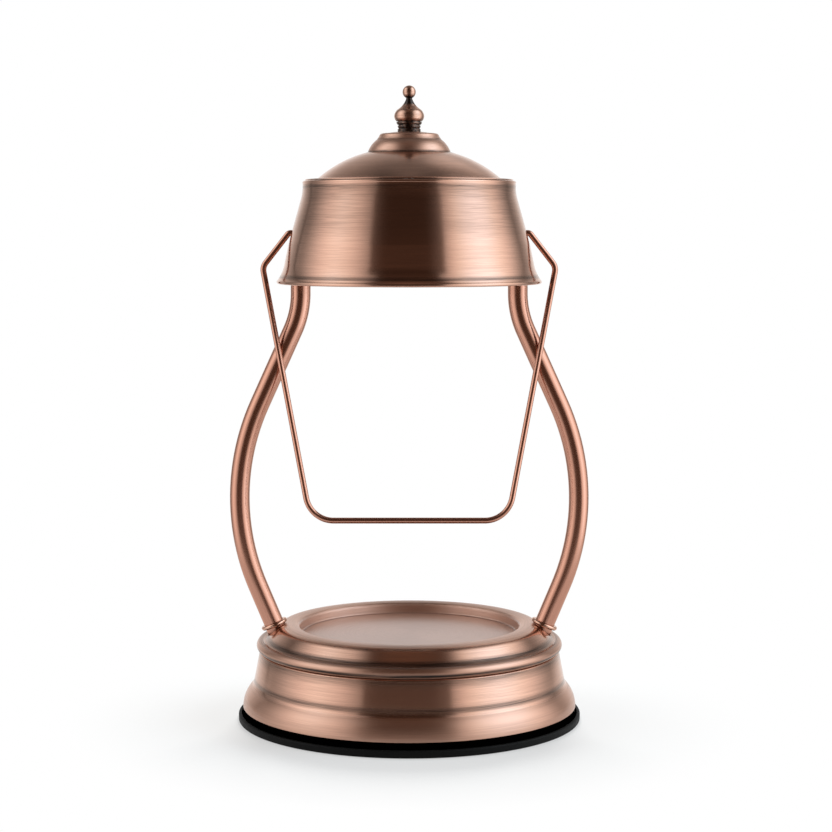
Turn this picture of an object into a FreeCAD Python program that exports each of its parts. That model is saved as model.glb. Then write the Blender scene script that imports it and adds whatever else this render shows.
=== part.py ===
import FreeCAD, Part
import math
import os
import Sketcher

# Candle warmer lamp in the form of a lantern: a weighted spun base with a warming dish,
# two bent tube arms, a flared hood with a domed cap and a turned finial, a reflector
# bulb inside the hood, and a wire bail that swings from two holes in the hood.
# Millimetres, +Z up, origin at the middle of the base on the table. The arms stand
# in the XZ plane, the front of the lamp faces -Y.

Vector = FreeCAD.Vector
Z_DIRECTION = Vector(0, 0, 1)
Y_DIRECTION = Vector(0, 1, 0)
X_DIRECTION = Vector(1, 0, 0)

SIZES = {
    # Tray and pad under the base
    "pad_inset": 7.1,              # pad's edge inside the tray's edge
    "pad_thickness": 1.4,
    "pad_stand": 0.3,              # the pad stands this far out below the tray
    "pad_gap": 0.1,                # around and above the pad in its recess
    "tray_floor": 2.0,
    "tray_foot_round": 0.8,
    "lip_height": 4.0,             # top of the tray's rim above the table
    "lip_width": 1.5,
    "lip_gap": 0.8,                # between the rim and the skirt's edge
    "lip_round": 0.8,
    "gutter_depth": 0.6,           # groove between the rim and the seat of the skirt
    "seat_height": 7.4,            # the skirt stands on this ledge
    "seat_inset": 0.4,             # ledge's edge inside the skirt's edge
    "rib_height": 1.9,
    "rib_width": 2.0,
    "rib_gap": 0.4,                # between the locating rib and the skirt
    # Screws, posts and weight
    "post_circle": 40.0,
    "post_radius": 4.0,
    "post_hole_depth": 13.0,
    "boss_radius": 6.0,
    "boss_height": 2.6,
    "tray_screw_radius": 2.0,
    "tray_screw_reach": 10.0,      # length of thread inside the post
    "tray_screw_head_radius": 3.5,
    "tray_screw_head": 1.8,
    "screw_fit": 0.05,             # radial play of every screw thread in its hole
    "head_play": 0.5,              # radial play of a screw head in its recess
    "counterbore_depth": 2.2,
    "weight_radius": 62.0,
    "weight_thickness": 8.0,
    "weight_gap": 0.6,             # around the bosses
    "weight_chamfer": 1.0,
    # Skirt of the base
    "base_sheet": 1.0,
    "flare_reach": 4.4,            # the flare stands this far out below the step
    "skirt_hem": 0.4,              # straight edge below the flare
    "flare_height": 9.8,
    "flare_bulge": 14.5,
    "step_height": 2.8,
    "step_reach": 1.3,
    "step_bulge": 5.6,
    "waist_overhang": 1.3,         # waist outside the middle of the bead above it
    "waist_spread": 2.75,          # the straight wall leans out by this much
    "waist_round": 1.0,
    "flange_reach": 3.3,           # width of the skirt's inward flange
    "flange_gap": 0.2,             # between the flange and the bead above it
    # Top of the base: rolled bead, sloping ring and warming dish
    "bead_reach": 3.95,            # middle of the bead outside the foot of the slope
    "bead_radius": 2.7,
    "bead_height": 38.5,
    "bead_join_angle": 122.0,      # where the cove meets the bead, degrees
    "bead_root_angle": 157.0,      # where the sheet's underside meets the bead
    "cove_bulge": 9.0,
    "cove_rise": 4.45,             # foot of the slope above the middle of the bead
    "slope_reach": 3.65,
    "slope_rise": 3.9,
    "slope_round": 6.0,
    "shoulder_reach": 3.55,
    "shoulder_rise": 2.08,
    "crest_width": 6.5,
    "crest_drop": 0.22,            # fall of the crown of the ring to its two edges
    "crest_bulge": 24.0,
    "dish_round": 2.0,
    "dish_edge_reach": 1.7,
    "dish_wall_reach": 1.5,
    "dish_wall_height": 3.6,
    "dish_radius": 54.1,
    "dish_depth": 5.43,            # below the top of the ring
    "dish_fillet": 1.05,
    # Cord grommet at the back
    "grommet_height": 26.5,
    "grommet_bore": 2.9,
    "grommet_neck": 4.6,
    "grommet_hole_gap": 0.1,
    "grommet_flange": 6.4,
    "grommet_flange_thickness": 1.8,
    "grommet_round": 0.9,
    "grommet_back_flange": 5.8,
    "grommet_back_thickness": 1.2,
    "grommet_seat_gap": 0.1,
    "grommet_back_gap": 0.45,
    # Arms
    "arm_radius": 5.0,
    "arm_wall": 1.0,
    "arm_head_reach": 33.0,        # upright top end of an arm, from the lamp's axis
    "arm_head_stub": 5.0,          # length of arm above the hood plate
    "arm_head_fall": 15.2,         # first bend below the hood plate
    "arm_shoulder_inset": 11.02,   # upright run of an arm inside the hood's lip
    "arm_shoulder_fall": 25.7,     # second bend below the first
    "arm_head_bend": 25.0,
    "arm_waist_fall": 21.3,        # third bend below the second
    "arm_waist_bend": 45.4,
    "arm_knee_height": 114.5,
    "arm_knee_bend": 116.4,
    "arm_lean": 22.62,             # lean of the straight foot of an arm, degrees
    "arm_entry_inset": 0.85,       # an arm's axis under the dish, inside the top of the slope
    "arm_foot_stub": 1.5,          # length of arm below its nut
    "arm_fit": 0.05,               # radial play of an arm in its holes, collar and nuts
    "arm_hole_gap": 0.4,           # radial play of an arm in the sheet of the base
    "collar_radius": 6.85,
    "collar_thickness": 2.0,
    "collar_round": 0.9,
    "collar_gap": 0.25,            # between the collar and the shoulder under it
    "arm_nut_radius": 8.0,
    "arm_nut_height": 4.0,
    # Bridge under the dish that the arms are bolted to
    "bridge_sheet": 2.0,
    "bridge_half_width": 9.0,
    "bridge_arm": 14.5,            # from the fold of the bridge to an arm's axis
    "bridge_end": 6.2,             # length of the bridge past an arm's axis
    # Hood
    "hood_sheet": 0.8,
    "hood_flange_height": 271.8,
    "hood_flange_width": 6.3,
    "rim_inset": 0.7,              # middle of the rolled rim inside the neck
    "rim_radius": 0.85,
    "rim_sink": 0.05,              # middle of the rolled rim below the flange
    "neck_radius": 53.3,
    "neck_fall": 2.45,
    "neck_bulge": 20.0,
    "neck_spread": 0.8,
    "neck_curve_fall": 5.4,
    "drum_spread": 6.35,
    "drum_fall": 22.6,
    "belly_spread": 1.95,
    "belly_fall": 9.1,
    "brim_bulge": 20.0,
    "brim_spread": 3.2,
    "brim_fall": 9.85,
    "lip_roll_radius": 0.95,
    "lip_join_angle": 55.0,        # where the outside of the wall meets the roll, degrees
    "lip_root_angle": 165.0,       # where the inside of the wall meets the roll
    # Plate that closes the hood and carries the socket
    "plate_thickness": 2.0,
    "plate_gap": 0.3,
    "plate_bore": 15.0,
    # Dome
    "dome_sheet": 0.8,
    "dome_bore": 2.8,
    "crown_flat_radius": 6.6,
    "crown_width": 6.2,            # sloping ring round the flat of the crown
    "crown_fall": 0.9,
    "crown_round": 1.7,
    "crown_shoulder_reach": 2.2,
    "crown_cap_rise": 2.2,        # from the crown's shoulder to the top
    "crown_waist_reach": 1.1,
    "crown_waist_rise": 1.6,
    "crown_skirt_bulge": 13.0,
    "crown_skirt_reach": 4.6,
    "crown_skirt_rise": 6.3,
    "dome_bulge": 60.0,
    "dome_rise": 12.95,
    "dome_brim_width": 6.4,
    "dome_brim_rise": 1.05,
    "dome_brim_inset": 0.6,        # dome's edge inside the middle of the hood's rim
    "dome_seat_gap": 0.3,          # between the dome's edge and the hood's rim
    # Finial
    "finial_foot_radius": 5.75,
    "finial_foot_height": 1.35,
    "finial_groove_radius": 5.3,
    "finial_ring_radius": 5.65,
    "finial_ring_height": 1.4,
    "finial_groove_gap": 0.35,
    "finial_collar_radius": 6.35,
    "finial_collar_height": 1.4,
    "finial_bulb_radius": 7.5,
    "finial_bulb_height": 7.9,    # widest place above the foot
    "finial_shoulder_radius": 5.6,
    "finial_shoulder_rise": 3.3,
    "finial_neck_radius": 1.55,
    "finial_neck_rise": 5.1,
    "finial_ball_radius": 3.3,
    "finial_ball_rise": 3.4,
    "finial_bulb_bulge": 3.6,
    "finial_shoulder_bulge": 4.6,
    "finial_hollow_bulge": 10.0,
    # Rod, bracket and socket
    "rod_radius": 2.5,
    "rod_reach": 9.4,              # length of rod inside the finial
    "rod_hole_depth": 9.8,
    "rod_fit": 0.05,
    "rod_nut_radius": 4.6,
    "rod_nut_height": 4.0,
    "bracket_sheet": 1.2,
    "bracket_half_width": 6.0,
    "bracket_leg": 15.4,           # inside of a leg from the lamp's axis
    "bracket_foot": 11.0,
    "bracket_screw_reach": 5.5,    # screw's place past the leg
    "bracket_screw_radius": 1.5,
    "bracket_screw_head_radius": 2.8,
    "bracket_screw_head": 1.6,
    "bracket_screw_tail": 1.4,
    "socket_radius": 14.0,
    "socket_height": 15.8,
    "socket_top_gap": 0.2,
    "socket_cover": 2.4,
    "socket_cavity_radius": 9.0,
    "socket_cavity_height": 7.0,
    "socket_round": 1.0,
    # Reflector bulb with a two pin twist base
    "bulb_twist": 30.0,            # turn from locked to free, degrees
    "pin_circle": 5.0,
    "pin_radius": 1.5,
    "pin_head_radius": 2.5,
    "pin_head": 1.6,
    "pin_neck": 3.0,               # free length of a pin below its head
    "pin_play": 0.3,               # around a pin in the socket's slots
    "bulb_base_radius": 12.5,
    "bulb_base_height": 12.0,
    "bulb_base_gap": 0.3,
    "bulb_base_taper": 1.5,
    "reflector_neck_radius": 10.5,
    "reflector_neck_height": 5.0,
    "reflector_radius": 25.0,
    "reflector_bulge": 34.0,
    "reflector_depth": 22.0,
    "reflector_glass": 1.3,
    "reflector_rim": 3.0,
    "lens_thickness": 1.8,
    "lens_gap": 0.1,
    "capsule_radius": 4.2,
    "capsule_length": 14.0,
    "capsule_gap": 0.1,
    # Bail: wire handle, drawn hanging straight below its pivot
    "bail_radius": 1.5,
    "bail_pivot_fall": 25.1,       # pivot below the hood's flange
    "bail_pivot_gap": 0.06,
    "bail_elbow_inset": 0.05,      # elbow of the wire inside the hood's belly
    "bail_stub": 5.8,              # length of wire turned in through the hood
    "bail_elbow_bend": 2.0,
    "bail_shoulder_spread": 13.1,
    "bail_shoulder_drop": 17.0,
    "bail_shoulder_bend": 6.0,
    "bail_foot_reach": 49.4,
    "bail_drop": 144.1,
    "bail_foot_bend": 14.0,
    "bail_rest_gap": 0.45,         # between the resting bail and the arms, front to back
}

# Sizes that follow from the ones above, as formulas of the sheet. The base grows outward
# from the dish and upward from the bead, the hood outward from its neck and down from its
# flange, the dome up from the hood's rim.
FORMULAS = {
    "dish_wall_radius": "dish_radius + dish_wall_reach",
    "crest_inner_radius": "dish_wall_radius + dish_edge_reach",
    "crest_outer_radius": "crest_inner_radius + crest_width",
    "slope_head_radius": "crest_outer_radius + shoulder_reach",
    "slope_foot_radius": "slope_head_radius + slope_reach",
    "bead_ring_radius": "slope_foot_radius + bead_reach",
    "waist_radius": "bead_ring_radius + waist_overhang",
    "step_radius": "waist_radius + waist_spread",
    "flare_top_radius": "step_radius + step_reach",
    "skirt_foot_radius": "flare_top_radius + flare_reach",
    "tray_radius": "skirt_foot_radius + lip_gap + lip_width",
    "pad_radius": "tray_radius - pad_inset",
    "slope_foot_height": "bead_height + cove_rise",
    "slope_head_height": "slope_foot_height + slope_rise",
    "crest_height": "slope_head_height + shoulder_rise",
    "dish_height": "crest_height - dish_depth",
    "dish_wall_top": "dish_height + dish_wall_height",
    "hood_flange_reach": "neck_radius - hood_flange_width",
    "rim_ring_radius": "neck_radius - rim_inset",
    "rim_height": "hood_flange_height - rim_sink",
    "neck_foot_height": "rim_height - neck_fall",
    "flare_start_radius": "neck_radius + neck_spread",
    "flare_start_height": "neck_foot_height - neck_curve_fall",
    "belly_radius": "flare_start_radius + drum_spread",
    "belly_height": "flare_start_height - drum_fall",
    "brim_start_radius": "belly_radius + belly_spread",
    "brim_start_height": "belly_height - belly_fall",
    "lip_ring_radius": "brim_start_radius + brim_spread",
    "lip_roll_height": "brim_start_height - brim_fall",
    "dome_brim_radius": "rim_ring_radius - dome_brim_inset",
    "dome_brim_height": "rim_height + rim_radius + dome_seat_gap",
    "dome_foot_radius": "dome_brim_radius - dome_brim_width",
    "dome_foot_height": "dome_brim_height + dome_brim_rise",
    "crown_radius": "crown_flat_radius + crown_width",
    "crown_shoulder_radius": "crown_radius + crown_shoulder_reach",
    "crown_waist_radius": "crown_shoulder_radius + crown_waist_reach",
    "crown_foot_radius": "crown_waist_radius + crown_skirt_reach",
    "crown_foot_height": "dome_foot_height + dome_rise",
    "crown_waist_height": "crown_foot_height + crown_skirt_rise",
    "crown_shoulder_height": "crown_waist_height + crown_waist_rise",
    "dome_top": "crown_shoulder_height + crown_cap_rise",
    "finial_shoulder_height": "finial_bulb_height + finial_shoulder_rise",
    "finial_neck_height": "finial_shoulder_height + finial_neck_rise",
    "finial_ball_height": "finial_neck_height + finial_ball_rise",
    "arm_head_bend_height": "hood_flange_height - hood_sheet - plate_thickness - arm_head_fall",
    "arm_shoulder_reach": "lip_ring_radius - arm_shoulder_inset",
    "arm_shoulder_bend_height": "arm_head_bend_height - arm_shoulder_fall",
    "arm_waist_bend_height": "arm_shoulder_bend_height - arm_waist_fall",
    "arm_entry_reach": "slope_head_radius - arm_entry_inset",
    "bridge_bend_reach": "arm_entry_reach - bridge_arm",
    "bail_pivot_height": "hood_flange_height - bail_pivot_fall",
    "bail_elbow_reach": "belly_radius - bail_elbow_inset",
    "bail_stub_reach": "bail_elbow_reach - bail_stub",
    "bail_shoulder_reach": "bail_elbow_reach + bail_shoulder_spread",
}


class Size:
    """A number with the expression that binds it to the sheet."""

    def __init__(self, number, text):
        self.number = number
        self.text = text

    def __add__(self, other):
        return Size(self.number + other.number, f"({self.text} + {other.text})")

    def __sub__(self, other):
        return Size(self.number - other.number, f"({self.text} - {other.text})")

    def __mul__(self, other):
        return Size(self.number * other.number, f"({self.text} * {other.text})")

    def __truediv__(self, other):
        return Size(self.number / other.number, f"({self.text} / {other.text})")

    def __neg__(self):
        return Size(-self.number, f"(-{self.text})")


def plain(number):
    return Size(number, repr(number))


def sine(angle):
    return Size(math.sin(math.radians(angle.number)), f"sin({angle.text})")


def cosine(angle):
    return Size(math.cos(math.radians(angle.number)), f"cos({angle.text})")


def tangent(angle):
    return Size(math.tan(math.radians(angle.number)), f"tan({angle.text})")


def root(square):
    return Size(math.sqrt(square.number), f"sqrt({square.text})")


def arc_sine(ratio):
    return Size(math.degrees(math.asin(ratio.number)), f"(asin({ratio.text}) / 1 deg)")


def arc_tangent(ratio):
    return Size(math.degrees(math.atan(ratio.number)), f"(atan({ratio.text}) / 1 deg)")


class Sheet:
    """The spreadsheet of driving dimensions, one attribute for each alias."""

    def __init__(self, document):
        cells = document.addObject("Spreadsheet::Sheet", "Sizes")
        contents = {name: str(number) for name, number in SIZES.items()}
        contents.update({name: "=" + formula for name, formula in FORMULAS.items()})
        for row, name in enumerate(contents, start=1):
            cells.set(f"A{row}", name)
            cells.setAlias(f"B{row}", name)
        for row, content in enumerate(contents.values(), start=1):
            cells.set(f"B{row}", content)
        document.recompute()
        for name in contents:
            setattr(self, name, Size(float(cells.get(name)), f"Sizes.{name}"))


doc = FreeCAD.newDocument("candle_warmer_lamp")
d = Sheet(doc)
ZERO = plain(0.0)
HALF = plain(0.5)
TWO = plain(2.0)
RIGHT = plain(1.0)
LEFT = plain(-1.0)
SIDES = (RIGHT, LEFT)


# Helpers: sketches -----------------------------------------------------------------

def origin_feature(body, role):
    return next(f for f in body.Origin.OriginFeatures if f.Role == role)


def bind(item, prop, size):
    item.setExpression(prop, size.text)


def new_body(label):
    body = doc.addObject("PartDesign::Body", label)
    body.Label = label
    return body


def new_sketch(body, role, offset=ZERO):
    """A sketch on one of the body's origin planes, lifted by offset along its normal."""
    sketch = body.newObject("Sketcher::SketchObject", body.Name + "_sketch")
    sketch.AttachmentSupport = [(origin_feature(body, role), "")]
    sketch.MapMode = "FlatFace"
    if offset is not ZERO:
        sketch.AttachmentOffset.Base.z = offset.number
        bind(sketch, "AttachmentOffset.Base.z", offset)
    return sketch


def arc_between(start, end, radius, turn):
    """The shorter arc from start to end: turn 1 bends left, turn -1 bends right."""
    chord = end.sub(start)
    rise = math.sqrt(max(radius ** 2 - (chord.Length / 2) ** 2, 0.0))
    left = Vector(-chord.y, chord.x, 0).normalize()
    centre = start.add(chord.multiply(0.5)).add(left.multiply(turn * rise))
    first, last = (start, end) if turn > 0 else (end, start)
    angles = [math.atan2(p.y - centre.y, p.x - centre.x) for p in (first, last)]
    return Part.ArcOfCircle(Part.Circle(centre, Z_DIRECTION, radius), *angles)


def place_point(sketch, edge, end, x, y):
    """Ties one end of an edge to its place from the sketch origin."""
    for size, kind, axis in ((x, "DistanceX", -2), (y, "DistanceY", -1)):
        if size is ZERO:
            sketch.addConstraint(Sketcher.Constraint("PointOnObject", edge, end, axis))
        else:
            tie = sketch.addConstraint(Sketcher.Constraint(kind, edge, end, size.number))
            bind(sketch, f"Constraints[{tie}]", size)


def set_radius(sketch, edge, radius):
    tie = sketch.addConstraint(Sketcher.Constraint("Radius", edge, radius.number))
    bind(sketch, f"Constraints[{tie}]", radius)


def draw_outline(sketch, corners):
    """A closed outline. A corner is (x, y) before a line, (x, y, radius, turn) before an arc."""
    first_edge = sketch.GeometryCount
    places = [Vector(c[0].number, c[1].number, 0) for c in corners]
    ends = []
    for i, corner in enumerate(corners):
        start, end = places[i], places[(i + 1) % len(corners)]
        if len(corner) == 2:
            sketch.addGeometry(Part.LineSegment(start, end), False)
            ends.append((1, 2))
        else:
            radius, turn = corner[2:]
            sketch.addGeometry(arc_between(start, end, radius.number, turn), False)
            ends.append((1, 2) if turn > 0 else (2, 1))
    for i, corner in enumerate(corners):
        following = (i + 1) % len(corners)
        sketch.addConstraint(Sketcher.Constraint("Coincident", first_edge + i, ends[i][1],
                                                 first_edge + following, ends[following][0]))
        place_point(sketch, first_edge + i, ends[i][0], corner[0], corner[1])
        if len(corner) > 2:
            set_radius(sketch, first_edge + i, corner[2])


def draw_circle(sketch, x, y, radius):
    centre = Vector(x.number, y.number, 0)
    edge = sketch.addGeometry(Part.Circle(centre, Z_DIRECTION, radius.number), False)
    place_point(sketch, edge, 3, x, y)
    set_radius(sketch, edge, radius)


def draw_path(sketch, points, radii):
    """An open line through the points, with a tangent bend of each radius at the inner ones."""
    places = [Vector(x.number, y.number, 0) for x, y in points]
    starts, arcs = [places[0]], []
    for before, corner, after, radius in zip(places, places[1:], places[2:], radii):
        back = before.sub(corner).normalize()
        on = after.sub(corner).normalize()
        half_turn = (math.pi - back.getAngle(on)) / 2
        reach = radius.number * math.tan(half_turn)
        first = corner.add(Vector(back).multiply(reach))
        last = corner.add(Vector(on).multiply(reach))
        turn = 1 if back.cross(on).z < 0 else -1
        arcs.append((arc_between(first, last, radius.number, turn), turn))
        starts += [first, last]
    starts.append(places[-1])
    lines = [sketch.addGeometry(Part.LineSegment(a, b), False)
             for a, b in zip(starts[::2], starts[1::2])]
    place_point(sketch, lines[0], 1, *points[0])
    place_point(sketch, lines[-1], 2, *points[-1])
    for i, (arc, turn) in enumerate(arcs):
        edge = sketch.addGeometry(arc, False)
        mark = sketch.addGeometry(Part.Point(places[i + 1]), True)
        entry, leave = (1, 2) if turn > 0 else (2, 1)
        place_point(sketch, mark, 1, *points[i + 1])
        sketch.addConstraint([
            Sketcher.Constraint("PointOnObject", mark, 1, lines[i]),
            Sketcher.Constraint("PointOnObject", mark, 1, lines[i + 1]),
            Sketcher.Constraint("Tangent", lines[i], 2, edge, entry),
            Sketcher.Constraint("Tangent", edge, leave, lines[i + 1], 1)])
        set_radius(sketch, edge, radii[i])


# Helpers: features -----------------------------------------------------------------

def revolve(body, sketch, kind="Revolution"):
    feature = body.newObject("PartDesign::" + kind, body.Name + "_" + kind.lower())
    feature.Profile = sketch
    feature.ReferenceAxis = (sketch, ["V_Axis"])
    feature.Angle = 360.0
    return feature


def spun(label, corners):
    """A body turned about Z from one outline in the XZ plane."""
    body = new_body(label)
    sketch = new_sketch(body, "XZ_Plane")
    draw_outline(sketch, corners)
    revolve(body, sketch)
    return body


def pad(body, sketch, length, both_ways=False):
    feature = body.newObject("PartDesign::Pad", body.Name + "_pad")
    feature.Profile = sketch
    if both_ways:
        feature.SideType = "Symmetric"
    bind(feature, "Length", length)
    return feature


def place(item, x, y, z, axis=Z_DIRECTION, angle=ZERO):
    """Puts an item at x, y, z, turned about axis, and binds the place to the sheet."""
    item.Placement = FreeCAD.Placement(Vector(x.number, y.number, z.number),
                                       FreeCAD.Rotation(axis, angle.number))
    for letter, size in zip("xyz", (x, y, z)):
        if size is not ZERO:
            bind(item, f"Placement.Base.{letter}", size)
    if angle is not ZERO:
        bind(item, "Placement.Rotation.Angle", angle)


def bore(body, radius, x, y, z, length, axis=Z_DIRECTION, angle=ZERO):
    """Cuts a round hole that starts at x, y, z."""
    hole = body.newObject("PartDesign::SubtractiveCylinder", body.Name + "_bore")
    bind(hole, "Radius", radius)
    bind(hole, "Height", length)
    place(hole, x, y, z, axis, angle)
    return hole


def around_axis(body, originals, count):
    pattern = body.newObject("PartDesign::PolarPattern", body.Name + "_pattern")
    pattern.Originals = originals
    pattern.Axis = (origin_feature(body, "Z_Axis"), [""])
    pattern.Angle = 360.0
    pattern.Occurrences = count
    body.Tip = pattern
    return pattern


def mirrored(body, originals, role):
    copy = body.newObject("PartDesign::Mirrored", body.Name + "_mirror")
    copy.Originals = originals
    copy.MirrorPlane = (origin_feature(body, role), [""])
    body.Tip = copy
    return copy


def sweep(body, section, path):
    pipe = body.newObject("PartDesign::AdditivePipe", body.Name + "_pipe")
    pipe.Profile = section
    pipe.Spine = (path, [f"Edge{i + 1}" for i in range(len(path.Shape.Edges))])
    return pipe


# Helpers: fasteners ----------------------------------------------------------------

def cylinder(radius, height, z=ZERO):
    rod = doc.addObject("Part::Cylinder", "cylinder")
    bind(rod, "Radius", radius)
    bind(rod, "Height", height)
    if z is not ZERO:
        bind(rod, "Placement.Base.z", z)
    return rod


def nut(corner_radius, height, hole_radius):
    """A hexagon nut standing on z = 0."""
    prism = doc.addObject("Part::Prism", "hexagon")
    prism.Polygon = 6
    bind(prism, "Circumradius", corner_radius)
    bind(prism, "Height", height)
    cut = doc.addObject("Part::Cut", "nut")
    cut.Base = prism
    cut.Tool = cylinder(hole_radius, height)
    return cut


def screw(head_radius, head_height, shank_radius, shank_length):
    """A screw with its head from z = 0 down and its shank from z = 0 up."""
    fuse = doc.addObject("Part::Fuse", "screw")
    fuse.Base = cylinder(head_radius, head_height, -head_height)
    fuse.Tool = cylinder(shank_radius, shank_length + head_height * HALF, -(head_height * HALF))
    return fuse


def group(label, items):
    compound = doc.addObject("Part::Compound", label)
    compound.Label = label
    compound.Links = items
    return compound


# Places worked out from the sizes ---------------------------------------------------

def arm_reach_at(height):
    """Distance of the straight foot of an arm from the lamp's axis at a height."""
    return d.arm_entry_reach + (height - dish_underside) * tangent(d.arm_lean)


def skirt_radius_at(height):
    slope = (d.step_radius - d.waist_radius) / (skirt_waist_height - skirt_step_height)
    return d.waist_radius + (skirt_waist_height - height) * slope


dish_underside = d.dish_height - d.base_sheet
skirt_flare_height = d.seat_height + d.skirt_hem + d.flare_height
skirt_step_height = skirt_flare_height + d.step_height
skirt_top = d.bead_height - d.bead_radius - d.flange_gap
skirt_waist_height = skirt_top - d.waist_round
tray_recess = d.pad_thickness + d.pad_gap
tray_floor_top = tray_recess + d.tray_floor
boss_top = tray_floor_top + d.boss_height
plate_top = d.hood_flange_height - d.hood_sheet
plate_bottom = plate_top - d.plate_thickness
bracket_top = d.socket_height + plate_bottom - d.socket_cover * HALF + d.socket_top_gap
socket_bottom = bracket_top - d.socket_top_gap - d.socket_height

# Where an arm's axis meets the upper face of the sloping end of the bridge
bridge_run = d.bridge_arm * cosine(d.arm_lean)
bridge_arm_height = dish_underside - bridge_run * sine(d.arm_lean)
foot_nut_height = bridge_arm_height - (d.bridge_sheet + d.arm_nut_height) * cosine(d.arm_lean)
arm_foot_height = foot_nut_height - d.arm_foot_stub * cosine(d.arm_lean)
POST_COUNT = 3


# Base ------------------------------------------------------------------------------

def post_places():
    """Places of the posts, the first one at the back of the base."""
    angles = [plain(90.0 + 360.0 * i / POST_COUNT) for i in range(POST_COUNT)]
    return [(d.post_circle * cosine(a), d.post_circle * sine(a)) for a in angles]


def make_nonslip_pad():
    return spun("nonslip_pad", [
        (ZERO, ZERO),
        (d.pad_radius, ZERO),
        (d.pad_radius, d.pad_thickness),
        (ZERO, d.pad_thickness)])


def make_base_tray():
    recess_radius = d.pad_radius + d.pad_gap
    gutter = d.lip_height - d.gutter_depth
    seat_radius = d.skirt_foot_radius - d.seat_inset
    rib_radius = d.skirt_foot_radius - d.base_sheet - d.rib_gap
    rib_top = d.seat_height + d.rib_height
    body = spun("base_tray", [
        (ZERO, tray_recess),
        (recess_radius, tray_recess),
        (recess_radius, d.pad_stand),
        (d.tray_radius - d.tray_foot_round, d.pad_stand, d.tray_foot_round, 1),
        (d.tray_radius, d.pad_stand + d.tray_foot_round),
        (d.tray_radius, d.lip_height - d.lip_round, d.lip_round, 1),
        (d.tray_radius - d.lip_round, d.lip_height),
        (d.tray_radius - d.lip_width, d.lip_height),
        (d.tray_radius - d.lip_width, gutter),
        (seat_radius, gutter),
        (seat_radius, d.seat_height),
        (rib_radius, d.seat_height),
        (rib_radius, rib_top),
        (rib_radius - d.rib_width, rib_top),
        (rib_radius - d.rib_width, tray_floor_top),
        (ZERO, tray_floor_top)])
    sketch = new_sketch(body, "XY_Plane", tray_floor_top)
    draw_circle(sketch, ZERO, d.post_circle, d.boss_radius)
    boss = pad(body, sketch, d.boss_height)
    around_axis(body, [boss], POST_COUNT)
    for x, y in post_places():
        bore(body, d.tray_screw_head_radius + d.head_play, x, y, tray_recess,
             d.counterbore_depth)
        bore(body, d.tray_screw_radius + d.head_play, x, y, tray_recess,
             d.tray_floor + d.boss_height)
    return body


def make_tray_screws():
    """Countersunk below the tray, screwed up into the posts."""
    shoulder = tray_recess + d.counterbore_depth
    length = boss_top - shoulder + d.tray_screw_reach
    screws = []
    for x, y in post_places():
        item = screw(d.tray_screw_head_radius, d.tray_screw_head, d.tray_screw_radius, length)
        place(item, x, y, shoulder)
        screws.append(item)
    return group("tray_screws", screws)


def make_base_posts():
    """Tapped posts that hang from the dish and hold the tray and the skirt up to it."""
    posts = []
    for x, y in post_places():
        post = doc.addObject("Part::Cut", "post")
        post.Base = cylinder(d.post_radius, dish_underside - boss_top)
        post.Tool = cylinder(d.tray_screw_radius + d.screw_fit, d.post_hole_depth)
        place(post, x, y, boss_top)
        posts.append(post)
    return group("base_posts", posts)


def make_ballast_disc():
    edge = d.weight_chamfer
    top = tray_floor_top + d.weight_thickness
    body = spun("ballast_disc", [
        (ZERO, tray_floor_top),
        (d.weight_radius - edge, tray_floor_top),
        (d.weight_radius, tray_floor_top + edge),
        (d.weight_radius, top - edge),
        (d.weight_radius - edge, top),
        (ZERO, top)])
    for x, y in post_places():
        bore(body, d.boss_radius + d.weight_gap, x, y, tray_floor_top, d.weight_thickness)
    return body


def grommet_place():
    """Height, distance from the axis and tilt of the skirt's outside where the cord leaves."""
    slope = (d.step_radius - d.waist_radius) / (skirt_waist_height - skirt_step_height)
    tilt = arc_tangent(slope) - plain(90.0)
    return d.grommet_height, skirt_radius_at(d.grommet_height), tilt


def make_base_skirt():
    sheet = d.base_sheet
    inner_waist = d.waist_radius - sheet
    flare_foot = d.seat_height + d.skirt_hem
    body = spun("base_skirt", [
        (d.skirt_foot_radius - sheet, d.seat_height),
        (d.skirt_foot_radius, d.seat_height),
        (d.skirt_foot_radius, flare_foot, d.flare_bulge, 1),
        (d.flare_top_radius, skirt_flare_height, d.step_bulge, -1),
        (d.step_radius, skirt_step_height),
        (d.waist_radius, skirt_waist_height, d.waist_round, 1),
        (d.waist_radius - d.waist_round, skirt_top),
        (d.waist_radius - d.flange_reach, skirt_top),
        (d.waist_radius - d.flange_reach, skirt_top - sheet),
        (inner_waist, skirt_top - sheet),
        (d.step_radius - sheet, skirt_step_height, d.step_bulge + sheet, 1),
        (d.flare_top_radius - sheet, skirt_flare_height - sheet * HALF,
         d.flare_bulge - sheet, -1),
        (d.skirt_foot_radius - sheet, flare_foot)])
    height, reach, tilt = grommet_place()
    depth = d.grommet_flange
    bore(body, d.grommet_neck + d.grommet_hole_gap, ZERO, reach + depth * sine(tilt),
         height - depth * cosine(tilt), depth * TWO, X_DIRECTION, tilt)
    return body


def make_cord_grommet():
    """Rubber bush in the back of the skirt; its outer flange lies on the sheet."""
    face = d.grommet_seat_gap
    back = -(d.base_sheet + d.grommet_back_gap)
    edge = face + d.grommet_flange_thickness
    body = spun("cord_grommet", [
        (d.grommet_bore, back - d.grommet_back_thickness),
        (d.grommet_back_flange, back - d.grommet_back_thickness),
        (d.grommet_back_flange, back),
        (d.grommet_neck, back),
        (d.grommet_neck, face),
        (d.grommet_flange, face),
        (d.grommet_flange, edge - d.grommet_round, d.grommet_round, 1),
        (d.grommet_flange - d.grommet_round, edge),
        (d.grommet_bore, edge)])
    height, reach, tilt = grommet_place()
    place(body, ZERO, reach, height, X_DIRECTION, tilt)
    return body


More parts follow.
